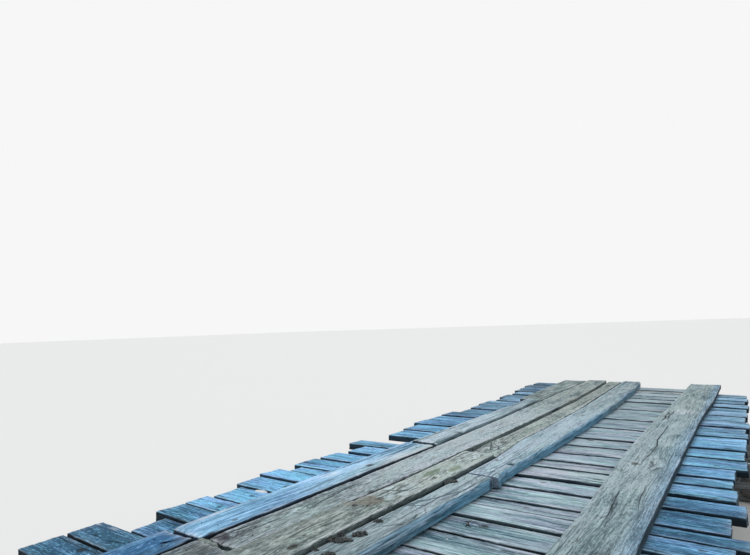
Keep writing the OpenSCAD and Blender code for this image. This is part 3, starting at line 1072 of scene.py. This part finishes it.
RIGHT_WOOD = weathered_wood(
    "long grained right board", dark=(0.105, 0.168, 0.190), mid=(0.242, 0.350, 0.386),
    pale=(0.42, 0.545, 0.59), other=(0.250, 0.345, 0.360), flank=(0.040, 0.076, 0.098),
    dusty=0.2, flecks=0.8, clean=(0.78, 0.98, 1.30), run=3.0, cast=0.15, lines=RIGHT_LINES)
# The log greys are kept darker than weathered grey, partly as painted shade under the deck
STRINGER_WOOD = log_wood(
    "stringer log", (0.045, 0.054, 0.060), (0.145, 0.165, 0.178), (0.30, 0.33, 0.35),
    (0.026, 0.029, 0.034), (0.120, 0.118, 0.115))
CRIB_WOOD = log_wood(
    "crib log", (0.048, 0.054, 0.058), (0.150, 0.164, 0.172), (0.30, 0.32, 0.335),
    (0.032, 0.032, 0.034), (0.125, 0.120, 0.112))
RUSTY_IRON = plain_finish("rusty iron", (0.025, 0.021, 0.022), (0.085, 0.060, 0.050),
                          (160, 160, 160), 0.0006, 0.75)
DRY_MUD = plain_finish("dry mud", (0.011, 0.012, 0.014), (0.135, 0.15, 0.15),
                       (150, 150, 150), 0.006, 0.92, soft=0.07)
GAP_DUST = plain_finish("dust packed in a gap", (0.09, 0.115, 0.11), (0.30, 0.36, 0.345),
                        (60, 28, 60), 0.005, 0.92)
TWIG_BARK = plain_finish("twig bark", (0.012, 0.014, 0.012), (0.06, 0.06, 0.045),
                         (90, 90, 90), 0.0008, 0.8)
FRESH_SPLINTER = plain_finish("pale splinter", (0.42, 0.48, 0.52), (0.80, 0.84, 0.86),
                              (25, 90, 90), 0.001, 0.8)

# How each kind of timber has weathered, in metres. step and cell are the spacing of its
# points along and across the top, side_cell down its sides. arris is how round its two long
# edges are, end_arris its ends, wave how wavy the edges are and slack how far they lie inside
# the CAD edges. relief, cup, rock and tilt are how deep the top is worn, hollowed, rocked at
# random and lowered across. ragged is how splintered each end is and tongue how long and deep
# the first one is worn down. Without a unit, shade is how dark the painted shade on the two
# flanks is, rim how pale the two edges are, worn and with a painted highlight, lit_end how much
# light the left end of a plank's near flank gets against its painted shade, slant how the tone
# changes across and drying the count of chance cracks. foot is how far down the flanks the
# deeper painted shade of the gap starts.
PLANK = {"step": 0.02, "cell": 0.016, "side_cell": 0.02, "arris": (0.004, 0.005),
         "end_arris": 0.005, "wave": 0.004, "slack": 0.002, "relief": 0.0022, "cup": 0.0015,
         "rock": 0.001, "tilt": 0.0, "ragged": (0.014, 0.014), "shade": (0.95, 0.95),
         "rim": (1.1, 0.8), "tongue": (0.1, 0.0), "foot": 0.03, "lit_end": 0.45}
BOARD = {**PLANK, "step": 0.013, "cell": 0.011, "side_cell": 0.018, "arris": (0.007, 0.007),
         "end_arris": 0.006, "wave": 0.003, "slack": 0.0, "relief": 0.0032, "cup": 0.003,
         "rock": 0.003, "ragged": (0.018, 0.018), "shade": (0.9, 0.9), "rim": (0.9, 0.9),
         "lit_end": 0.0, "slant": 0.0, "drying": 3}
# How much lower the far edge of each plank lies than its near edge, in millimetres
TILTS = [0, 8, 6, 0, 0, 2, 0, 8, 4, 3, 1, 8, 8, 8, 8, 8, 8, 8, 8, 8, 8, 2, 8, 4, 6, 3, 8, 7, 7,
         8, 8, 6, 3]
# For each board its finish and slot, and what sets it apart. tone is y and brightness, and
# hue goes from 0 for the mid grey of its finish to 1 for the other one.
BOARDS = {
    "left_outer_board_1": (OUTER_WOOD, "outer_board", {
        "ragged": (0.01, 0.02), "tone": ((0, -1.2),), "hue": 1.0, "slant": -0.6,
        "rim": (1.7, 0.6), "drying": 0}),
    "left_outer_board_2": (OUTER_WOOD, "outer_board", {
        "arris": (0.016, 0.007), "tongue": (0.10, 0.008), "hue": 0.0, "rim": (1.6, 0.6),
        "tone": ((-3.2, 0.35), (-2.85, 0.5), (-2.2, 0.9), (-1.4, 1.0), (-0.8, 0.8)),
        "ragged": (0.006, 0.018)}),
    "left_outer_board_3": (SILVER_WOOD, "outer_board", {
        "tone": ((-0.8, 1.1), (0.6, 0.95), (2.1, -0.1)), "shade": (0.9, 0.2),
        "arris": (0.007, 0.036), "rim": (0.9, 0.0), "hue": 0.0}),
    "left_outer_board_4": (SILVER_WOOD, "outer_board", {
        "ragged": (0.02, 0.03), "tone": ((0, -0.2),), "shade": (0.9, 0.2), "hue": 1.0}),
    "left_second_board_1": (TRACK_WOOD, "track_board", {
        "ragged": (0.01, 0.02), "tone": ((0, -0.7),), "hue": 0.0}),
    "left_second_board_2": (TRACK_WOOD, "track_board", {
        "tone": ((-3.2, 0.3), (-2.7, 0.38), (-2.2, 0.6), (-1.4, 1.8), (-0.6, 1.9),
                 (0.8, 1.5), (2.0, 0.35), (5.0, 0.2)),
        "shade": (0.9, 0.15), "hue": 0.0}),
    "left_third_board_1": (TRACK_WOOD, "track_board", {
        "ragged": (0.01, 0.02), "shade": (0.9, 0.0), "rim": (0.9, 1.5), "foot": 0.012,
        "tone": ((-3.2, 0.0), (-2.3, 0.3), (-1.8, 1.4), (-1.2, 1.8)), "hue": 1.0}),
    "left_third_board_2": (TRACK_WOOD, "track_board", {
        "tone": ((-0.9, 0.8), (1.0, 0.7), (3.0, 0.5), (5.0, 0.45)), "hue": 1.0}),
    "left_inner_board_1": (INNER_WOOD, "inner_board", {
        "arris": (0.008, 0.036), "shade": (0.9, 0.1), "ragged": (0.01, 0.005),
        "end_arris": 0.003, "foot": 0.05, "hue": 0.8,
        "tone": ((-3.1, -0.2), (-2.4, 0.15), (-1.9, 1.1), (-1.4, 1.2))}),
    "left_inner_board_2": (INNER_WOOD, "inner_board", {
        "arris": (0.008, 0.022), "shade": (0.9, 0.25), "ragged": (0.004, 0.01),
        "end_arris": 0.003, "foot": 0.05, "hue": 0.0,
        "tone": ((-1.4, 1.3), (0.5, 1.45), (2.5, 0.65), (5.0, 0.4))}),
    "right_board_1": (RIGHT_WOOD, "right_board", {
        "ragged": (0.01, 0.006), "arris": (0.014, 0.008), "shade": (0.9, 0.8),
        "tone": ((-5.0, -0.25), (-2.7, -0.2)), "slant": -0.35, "hue": 0.0}),
    "right_board_2": (RIGHT_WOOD, "right_board", {
        "ragged": (0.006, 0.010), "arris": (0.014, 0.008), "shade": (0.9, 0.45),
        "rim": (1.7, 0.9), "slant": -0.9, "hue": 0.0,
        "tone": ((-2.7, 0.15), (-2.2, 0.2), (-1.4, 0.75), (0.3, 1.25), (2.5, 0.6),
                 (5.0, 0.5))}),
}

# Cracks seen in the boards: width, depth, then y and x along the path
CRACKS = {
    "left_outer_board_1": [
        (0.004, 0.010, -3.36, -0.860, -3.332, -0.850, -3.288, -0.803, -3.21, -0.775),
        (0.003, 0.008, -3.28, -0.925, -3.253, -0.905, -3.21, -0.87),
        (0.003, 0.008, -3.52, -0.795, -3.446, -0.798, -3.397, -0.803)],
    "left_outer_board_2": [(0.005, 0.014, -2.405, -0.762, -2.218, -0.775, -1.980, -0.781)],
    "left_second_board_2": [
        (0.005, 0.010, -3.187, -0.545, -3.047, -0.566, -2.80, -0.553, -2.623, -0.556),
        (0.004, 0.010, -2.60, -0.520, -2.369, -0.540, -2.147, -0.558, -1.936, -0.550)],
    "left_third_board_1": [(0.004, 0.008, -2.855, -0.272, -2.701, -0.254, -2.552, -0.236)],
    "left_third_board_2": [
        (0.004, 0.010, -0.86, -0.250, -0.579, -0.209, -0.35, -0.190),
        (0.004, 0.010, -0.86, -0.300, -0.60, -0.325, -0.344, -0.340),
        (0.005, 0.012, 1.6, -0.180, 2.6, -0.175, 3.6, -0.20)],
    "left_inner_board_1": [
        (0.007, 0.022, -2.031, 0.040, -1.935, 0.058, -1.814, 0.072, -1.692, 0.080,
         -1.535, 0.088)],
    "left_inner_board_2": [(0.006, 0.020, 3.9, -0.09, 4.4, -0.11, 4.9, -0.12)],
    "right_board_2": [
        (0.007, 0.020, -0.490, 0.907, -0.388, 0.912, -0.208, 0.921, -0.055, 0.928,
         0.188, 0.933, 0.484, 0.903, 0.781, 0.907, 1.226, 0.908),
        (0.004, 0.010, -1.551, 1.060, -1.377, 1.039, -1.206, 1.034, -1.022, 1.025),
        (0.003, 0.008, -1.811, 0.934, -1.545, 0.922, -1.385, 0.912, -1.232, 0.906),
        (0.005, 0.010, -0.679, 1.013, -0.551, 1.028, -0.496, 1.073),
        (0.014, 0.014, 1.40, 0.800, 1.60, 0.835, 1.75, 0.815, 1.90, 0.830, 2.10, 0.810),
        (0.012, 0.012, 1.50, 0.862, 1.80, 0.848, 2.00, 0.866, 2.25, 0.850)],
}
# Knots seen in the boards: y, x, radius
KNOTS = {
    "right_board_2": [(1.70, 0.817, 0.018), (1.99, 0.814, 0.016), (1.48, 0.926, 0.014),
                      (0.944, 0.914, 0.010), (-0.50, 0.875, 0.026)],
    "left_second_board_2": [(-2.914, -0.505, 0.012)],
}
# Rotten holes: y, x, radius; a plank's hole is found by its place
HOLES = {"left_inner_board_2": [(-1.02, 0.104, 0.026)]}
PLANK_HOLES = [(-2.615, -1.305, 0.016)]
# Splits seen in the planks: width, depth, then x and y at both ends
PLANK_SPLITS = [(0.007, 0.012, -1.56, -3.329, -1.435, -3.315),
                (0.006, 0.012, -1.36, -3.331, -1.255, -3.302)]
# Bites out of a board's edge: y, side, length, depth
BITES = {
    "left_inner_board_2": [(-1.19, 1, 0.018, 0.016)],
    "left_third_board_2": [(3.1, 1, 1.5, 0.020)],
    "left_second_board_2": [(-3.19, -1, 0.05, 0.025)],
    "left_outer_board_1": [(-3.21, 1, 0.06, 0.02)],
    "left_outer_board_2": [(-3.18, 1, 0.05, 0.012)],
}
# Iron spikes: how they are forged, where they stand, and how far their heads are sunk
SPIKE_HEADS = {"Head radius": 0.0038, "Head height": 0.004, "Tilt": 0.16, "Seed": 7}
SPIKE_X, SPIKE_INSET = (-1.15, 1.15), 0.13
PLANK_SPIKE_SUNK, BOARD_SPIKE_SUNK, WORN_BY = 0.0035, 0.0065, 0.003
# Clods of dried mud and bark on the boards: x, y, half length, width and height, turn
CLUMPS = [
    (-0.075, -1.665, 0.060, 0.028, 0.022, 62), (-0.083, -2.495, 0.028, 0.018, 0.020, 31),
    (-0.060, -2.692, 0.043, 0.026, 0.027, 49), (-0.118, -2.812, 0.080, 0.030, 0.027, 30),
    (-0.140, -2.760, 0.030, 0.016, 0.022, 40), (-0.135, -2.957, 0.027, 0.016, 0.014, 31),
    (-0.045, -2.957, 0.034, 0.024, 0.018, 38),
]
# The height on which they lie, and how many lumps make up each
CLUMP_SEAT, LUMPS = 1.266, 14
# A twig on the planks: its place, and x, y and z along each of its stems
TWIG_AT = (0.25, -2.07)
TWIG_STEMS = [
    [(0, -0.05, 0), (0.01, -0.02, 0.006), (0.0, 0.01, 0.012), (0.012, 0.035, 0.012),
     (0.035, 0.05, 0.006), (0.062, 0.052, 0.0)],
    [(0.0, 0.0, 0.008), (-0.02, 0.012, 0.008), (-0.035, 0.01, 0.002)],
    [(0.01, -0.03, 0.003), (0.03, -0.045, 0.004), (0.045, -0.04, 0.0)],
]
# Dust and grit packed between boards: half width, height of its crest, length over which
# it runs out, then x and y along its middle; and the height of its underside
DUST_LINES = [
    (0.024, 1.299, 0.20, [(-0.431, -4.99), (-0.424, -3.6), (-0.418, -3.22), (-0.396, -2.85),
                          (-0.380, -2.5), (-0.368, -2.25)]),
    (0.016, 1.2955, 0.05, [(-0.700, -3.2), (-0.530, -3.2)]),
]
DUST_FLOOR = 1.235
# Chips on the planks: x, y, half sizes
CHIPS = [(0.239, -2.311, (0.006, 0.007, 0.005)), (-1.312, -2.240, (0.062, 0.026, 0.005))]
# Lamps: which way they shine, how wide they look in degrees, and how strong they are
LAMPS = [("key light", (0.35, -0.55, -1.0), 35, 1.35), ("fill light", (-0.7, 0.3, -0.9), 60, 0.35)]


def make_planks():
    tilts = iter(TILTS)
    for number, node in enumerate(PLANK_NODES):
        shape = Shape()
        for k, corners in enumerate(solids(node)):
            rng = np.random.default_rng(100 + 10 * number + k)
            look = {**PLANK, "cup": PLANK["cup"] * rng.choice([-0.6, 1.0]),
                    "tilt": next(tilts) / 1000}
            cracks = chance_cracks(rng, corners, 0, int(rng.integers(1, 4)), 0.004, 0.012)
            knots = chance_knots(rng, corners, 0, int(rng.integers(1, 4)))
            low, high = box_of(corners)
            holes = [(x, y, r) for y, x, r in PLANK_HOLES
                     if low[0] < x < high[0] and low[1] < y < high[1]]
            cracks += [split for split in PLANK_SPLITS if low[1] < split[3] < high[1]]
            timber = SawnTimber(corners, 0, rng, look, cracks, knots, (), holes)
            shape.add(*timber.finished())
        shape.piece(f"weathered_{node}", PLANK_WOOD, "deck_plank", node)


def make_boards():
    for number, (node, (material, slot, own)) in enumerate(BOARDS.items()):
        shape = Shape()
        rng = np.random.default_rng(500 + number)
        corners = solids(node)[0]
        seen, look = CRACKS.get(node, ()), {**BOARD, **own}
        rows, _, _ = outline(corners, 1)
        taken = []
        for _, _, y, x, *_ in seen:
            left, right = edges_at(rows, y)
            taken.append((x - left) / (right - left))
        cracks = [*seen, *chance_cracks(rng, corners, 1, look["drying"], 0.004, 0.016, taken)]
        knots = KNOTS.get(node) or chance_knots(rng, corners, 1, 2)
        timber = SawnTimber(corners, 1, rng, look, cracks, knots,
                            BITES.get(node, ()), HOLES.get(node, ()))
        shape.add(*timber.finished())
        shape.piece(f"worn_{node}", material, slot, node)


def make_log(boxes, name, along, seed, seats, material, slot, from_top=True):
    rng = np.random.default_rng(seed)
    shape = Shape()
    for low, high in boxes:
        shape.add(*round_log(low, high, along, rng, seats, from_top))
    shape.piece(f"weathered_{name}", material, slot, name)


def make_logs():
    """Stringers and cribs. Each seat's place comes from the log that crosses there."""
    sills = [f"{bank}_{which}_sill_log" for bank in ("near", "far") for which in ("front", "back")]
    bases = [name.replace("sill", "base") for name in sills]
    ties = ["near_tie_logs", "far_tie_logs"]
    box = {name: box_of(solids(name)[0]) for name in sills + bases + STRINGER_NODES}
    tie_boxes = {name: [box_of(corners) for corners in solids(name)] for name in ties}
    one_tie = tie_boxes[ties[0]][0]
    plank_seat = box[STRINGER_NODES[0]][1][2]
    stringer_seat = box[sills[0]][1][2] - HEW
    sill_seat = one_tie[1][2] - HEW
    tie_seat = box[bases[0]][1][2] - HEW

    def across(name, along):
        low, high = box[name]
        return (low[along] + high[along]) / 2

    def half(low_high, along):
        return seat_half(low_high[1][along] - low_high[0][along])

    tie_places = [(low[0] + high[0]) / 2 for low, high in tie_boxes[ties[0]]]
    tie_half, sill_half = half(one_tie, 0), half(box[sills[0]], 1)
    base_half, stringer_half = half(box[bases[0]], 1), half(box[STRINGER_NODES[0]], 0)
    for number, name in enumerate(STRINGER_NODES):
        seats = [(0, 0, plank_seat, 1)]
        seats += [(across(sill, 1), sill_half, stringer_seat, -1) for sill in sills]
        make_log([box[name]], name, 1, 700 + number, seats, STRINGER_WOOD, "stringer_log", False)
    for number, name in enumerate(sills):
        seats = [(across(n, 0), stringer_half, stringer_seat, 1) for n in STRINGER_NODES]
        seats += [(x, tie_half, sill_seat, -1) for x in tie_places]
        make_log([box[name]], name, 0, 720 + number, seats, CRIB_WOOD, "crib_log")
    for number, name in enumerate(bases):
        seats = [(0, 0, 0.0, -1)] + [(x, tie_half, tie_seat, 1) for x in tie_places]
        make_log([box[name]], name, 0, 740 + number, seats, CRIB_WOOD, "crib_log")
    for number, name in enumerate(ties):
        bank = name.split("_")[0]
        seats = [(across(n, 1), base_half, tie_seat, -1) for n in bases if n.startswith(bank)]
        seats += [(across(n, 1), sill_half, sill_seat, 1) for n in sills if n.startswith(bank)]
        make_log(tie_boxes[name], name, 1, 760 + number, seats, CRIB_WOOD, "crib_log")


def tilted_planks():
    """Each plank's outline and top, and how much lower its far edge lies."""
    planks = [corners for node in PLANK_NODES for corners in solids(node)]
    for corners, tilt in zip(planks, TILTS):
        rows, _, top = outline(corners, 0)
        yield rows, top, tilt / 1000


def deck_top(x, y):
    """Height of the planks' worn top at a place."""
    for rows, top, tilt in tilted_planks():
        near, far = edges_at(rows, x)
        if near <= y <= far:
            return top - WORN_BY - tilt * (y - near) / (far - near)


def spike_places():
    """Where iron spikes hold planks to stringers and boards to planks: x, y, z."""
    rng = np.random.default_rng(41)
    places = []
    for rows, top, tilt in tilted_planks():
        for x in SPIKE_X:
            near, far = edges_at(rows, x)
            share = rng.uniform(0.2, 0.8)
            places.append((x + rng.uniform(-0.03, 0.03), near + share * (far - near),
                           top - PLANK_SPIKE_SUNK - share * tilt))
    for node in BOARDS:
        rows, _, top = outline(solids(node)[0], 1)
        for y in (rows[0, 0] + SPIKE_INSET, rows[-1, 0] - SPIKE_INSET):
            left, right = edges_at(rows, y)
            for share in (0.28, 0.72):
                places.append((left + (share + rng.uniform(-0.07, 0.07)) * (right - left),
                               y + rng.uniform(-0.03, 0.03), top - BOARD_SPIKE_SUNK))
    return places


def spike_tree():
    """Geometry nodes that set a forged head on every point."""
    tree = bpy.data.node_groups.new("spike heads", "GeometryNodeTree")
    face = tree.interface
    face.new_socket("Geometry", in_out="INPUT", socket_type="NodeSocketGeometry")
    for name in ("Head radius", "Head height", "Tilt"):
        socket = face.new_socket(name, in_out="INPUT", socket_type="NodeSocketFloat")
        socket.default_value = SPIKE_HEADS[name]
    socket = face.new_socket("Seed", in_out="INPUT", socket_type="NodeSocketInt")
    socket.default_value = SPIKE_HEADS["Seed"]
    face.new_socket("Material", in_out="INPUT", socket_type="NodeSocketMaterial")
    face.new_socket("Geometry", in_out="OUTPUT", socket_type="NodeSocketGeometry")

    work = Wiring(tree)
    given = tree.nodes.new("NodeGroupInput").outputs
    radius, tilt = Value(work, given["Head radius"]), Value(work, given["Tilt"])
    height, seed = Value(work, given["Head height"]), Value(work, given["Seed"])
    head = work.node("GeometryNodeMeshCone", {
        "Vertices": 9, "Radius Top": radius * 0.72, "Radius Bottom": radius, "Depth": height})
    lean_low = work.node("ShaderNodeCombineXYZ", {"X": tilt * -1.0, "Y": tilt * -1.0})
    lean_high = work.node("ShaderNodeCombineXYZ", {"X": tilt, "Y": tilt, "Z": math.tau})
    turned = work.node("FunctionNodeRandomValue", {0: lean_low, 1: lean_high, "Seed": seed},
                       data_type="FLOAT_VECTOR")
    sized = work.node("FunctionNodeRandomValue", {2: 0.8, 3: 1.15, "Seed": seed}, 1,
                      data_type="FLOAT")
    heads = work.node("GeometryNodeInstanceOnPoints", {
        "Points": Value(work, given["Geometry"]), "Instance": head, "Rotation": turned,
        "Scale": sized})
    real = work.node("GeometryNodeRealizeInstances", (heads,))
    coated = work.node("GeometryNodeSetMaterial", {
        "Geometry": real, "Material": Value(work, given["Material"])})
    work.put(tree.nodes.new("NodeGroupOutput").inputs[0], coated)
    return tree


def made_by_nodes(name, base, tree, settings):
    """Runs a node tree on a mesh and keeps the result as a plain mesh."""
    thing = shown(name, base)
    modifier = thing.modifiers.new("nodes", "NODES")
    modifier.node_group = tree
    sockets = {item.name: item.identifier for item in tree.interface.items_tree
               if item.in_out == "INPUT"}
    for key, value in settings.items():
        modifier[sockets[key]] = value
    graph = bpy.context.evaluated_depsgraph_get()
    graph.update()
    mesh = bpy.data.meshes.new_from_object(thing.evaluated_get(graph))
    thing.modifiers.remove(modifier)
    thing.data = mesh
    return thing


def make_spikes():
    base = bpy.data.meshes.new("spike places")
    base.from_pydata(spike_places(), [], [])
    spikes = made_by_nodes("spike_heads", base, spike_tree(),
                           {**SPIKE_HEADS, "Material": RUSTY_IRON})
    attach(spikes, "root")


def ball(subdivisions):
    """Points and faces of a ball of radius 1."""
    work = bmesh.new()
    bmesh.ops.create_icosphere(work, subdivisions=subdivisions, radius=1.0)
    points = np.array([corner.co[:] for corner in work.verts])
    faces = [tuple(corner.index for corner in face.verts) for face in work.faces]
    work.free()
    return points, faces


def make_clumps():
    shape = Shape()
    unit, faces = ball(3)
    for number, (x, y, long, wide, tall, turn) in enumerate(CLUMPS):
        rng = np.random.default_rng(60 + number)
        angle = math.radians(turn)
        turned = np.array([[math.cos(angle), math.sin(angle)],
                           [-math.sin(angle), math.cos(angle)]])
        for k in range(LUMPS):
            rough = (ripple(rng, unit[:, 0], unit[:, 1], 0.5, 0.5)
                     + ripple(rng, unit[:, 1], unit[:, 2], 0.22, 0.22) * 0.6)
            skin = unit * (1 + 0.2 * rough)[:, None]
            along = (2 * k + 1) / LUMPS - 1 + rng.uniform(-0.1, 0.1)
            aside = 0.55 * rng.uniform(-1, 1) * (1 - along ** 2)
            tallness = tall * (1 - 0.5 * along ** 2) * (1 - 0.4 * abs(aside))
            skin *= np.array([0.26 * long, 0.55 * wide, tallness]) * rng.uniform(0.75, 1.1, 3)
            skin[:, :2] += (0.85 * along * long, aside * wide)
            skin[:, :2] = skin[:, :2] @ turned
            skin[:, 2] = np.maximum(skin[:, 2], -0.006)
            shape.add(skin + (x, y, CLUMP_SEAT), faces)
    shape.piece("mud_clumps", DRY_MUD, "track_board")


def tube(path, thick, sides=8):
    """A tapering closed twig through the points of a path."""
    path = [Vector(p) for p in path]
    points = []
    for k, p in enumerate(path):
        ahead = (path[min(k + 1, len(path) - 1)] - path[max(k - 1, 0)]).normalized()
        side = ahead.cross(Vector((0, 0, 1))).normalized()
        up = side.cross(ahead)
        r = thick * (1 - 0.7 * k / (len(path) - 1))
        for j in range(sides):
            a = math.tau * j / sides
            points.append(p + r * (math.cos(a) * side + math.sin(a) * up))
    faces = quads(np.arange(len(points)).reshape(-1, sides), closed=True)
    faces += [tuple(range(sides)), tuple(range(len(points) - sides, len(points)))]
    return np.array(points), faces


def make_twig():
    shape = Shape()
    x, y = TWIG_AT
    z = deck_top(x, y) + 0.004
    for stem in TWIG_STEMS:
        shape.add(*tube([(x + 0.7 * a, y + 0.7 * b, z + c) for a, b, c in stem], 0.004))
    shape.piece("fallen_twig", TWIG_BARK, "deck_plank")


def make_gap_dust():
    """Crumbling strips, a little below the boards' tops, that run out at their far ends."""
    shape = Shape()
    rng = np.random.default_rng(88)
    share = np.linspace(-1, 1, 9)
    for half, crest, fade, path in DUST_LINES:
        path = np.array(path)
        legs = np.hypot(*np.diff(path, axis=0).T)
        at = np.concatenate([[0], np.cumsum(legs)])
        run = np.arange(0, at[-1], 0.011)[:, None]
        x, y = (np.interp(run, at, path[:, k]) for k in (0, 1))
        ahead = (path[-1] - path[0]) / np.hypot(*(path[-1] - path[0]))
        high = crest - 0.045 * (1 - smooth((run[-1] - run) / fade))
        crumbs = ripple(rng, run, share, 0.03, 0.35)
        top = high - 0.006 * share ** 2 + 0.0045 * crumbs
        sheets = [np.stack([x + part * half * ahead[1], y - part * half * ahead[0], level], 2)
                  for part, level in ((share, top), (share[::-1], 0 * top + DUST_FLOOR))]
        ring = np.concatenate(sheets, 1)
        index = np.arange(ring[..., 0].size).reshape(ring.shape[:2])
        faces = quads(index, closed=True)
        for row in (0, -1):
            for k in range(len(share) - 1):
                faces.append([int(index[row, j]) for j in (k, k + 1, -k - 2, -k - 1)])
        shape.add(ring.reshape(-1, 3), faces)
    shape.piece("gap_dust", GAP_DUST, "track_board")


def make_chips():
    """A pale chip of stone and a fresh splinter on the planks."""
    shape = Shape()
    unit, faces = ball(2)
    for x, y, size in CHIPS:
        shape.add(unit * size + (x, y, deck_top(x, y)), faces)
    shape.piece("pale_chips", FRESH_SPLINTER, "deck_plank")


def make_floor():
    """A wide pale floor, clear when seen from below."""
    size = 400.0
    corners = [(-size, -size, 0), (size, -size, 0), (size, size, 0), (-size, size, 0)]
    mesh = bpy.data.meshes.new("floor")
    mesh.from_pydata(corners, [], [(0, 1, 2, 3)])
    mat = Recipe("pale floor", 0.9)
    mat.put(mat.shader.inputs["Base Color"], rgba((0.78, 0.78, 0.77)))
    clear = mat.node("ShaderNodeBsdfTransparent")
    below = mat.node("ShaderNodeNewGeometry", output=6)
    surface = mat.node("ShaderNodeMixShader", (below, Value(mat, mat.shader.outputs[0]), clear))
    mat.put(mat.tree.nodes["Material Output"].inputs["Surface"], surface)
    mesh.materials.append(mat.material)
    floor = shown("floor", mesh)
    floor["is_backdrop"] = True


def make_light():
    """Even light from all round with a plain backdrop, and two soft lamps."""
    world = bpy.data.worlds.new("studio")
    bpy.context.scene.world = world
    world.use_nodes = True
    work, nodes = Wiring(world.node_tree), world.node_tree.nodes
    light = nodes["Background"]
    work.put(light.inputs["Color"], rgba((0.97, 0.985, 1.0)))
    work.put(light.inputs["Strength"], 0.62)
    backdrop = work.node("ShaderNodeBackground", (rgba((0.93, 0.93, 0.93)),))
    camera_ray = work.node("ShaderNodeLightPath")
    mixed = work.node("ShaderNodeMixShader",
                      (camera_ray, Value(work, light.outputs[0]), backdrop))
    work.put(nodes["World Output"].inputs["Surface"], mixed)
    for name, towards, spread, strength in LAMPS:
        lamp = bpy.data.lights.new(name, "SUN")
        lamp.angle, lamp.energy = math.radians(spread), strength
        thing = shown(name, lamp)
        thing.rotation_euler = Vector(towards).to_track_quat("-Z", "Y").to_euler()


def make_camera():
    ahead = Vector((-math.sin(YAW) * math.cos(PITCH), math.cos(YAW) * math.cos(PITCH),
                    -math.sin(PITCH)))
    level = Vector((math.cos(YAW), math.sin(YAW), 0))
    down = ahead.cross(level)
    right = math.cos(ROLL) * level + math.sin(ROLL) * down
    low = math.cos(ROLL) * down - math.sin(ROLL) * level
    view = bpy.data.cameras.new("view")
    view.sensor_fit, view.sensor_width = "HORIZONTAL", SENSOR_MM
    view.lens = FOCAL_PX / IMAGE_W * SENSOR_MM
    view.clip_start, view.clip_end = 0.05, 1000
    camera = shown("view", view)
    turn = Matrix((right, -low, -ahead)).transposed().to_4x4()
    camera.matrix_world = Matrix.Translation(EYE) @ turn
    bpy.context.scene.camera = camera


make_planks()
make_boards()
make_logs()
make_spikes()
make_clumps()
make_twig()
make_gap_dust()
make_chips()
make_floor()
make_light()
make_camera()
bpy.context.scene.view_settings.view_transform = "Standard"

boxes = {"cad": CAD_BOX, "visual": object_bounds()}
{name: [list(corner) for corner in box] for name, box in boxes.items()}
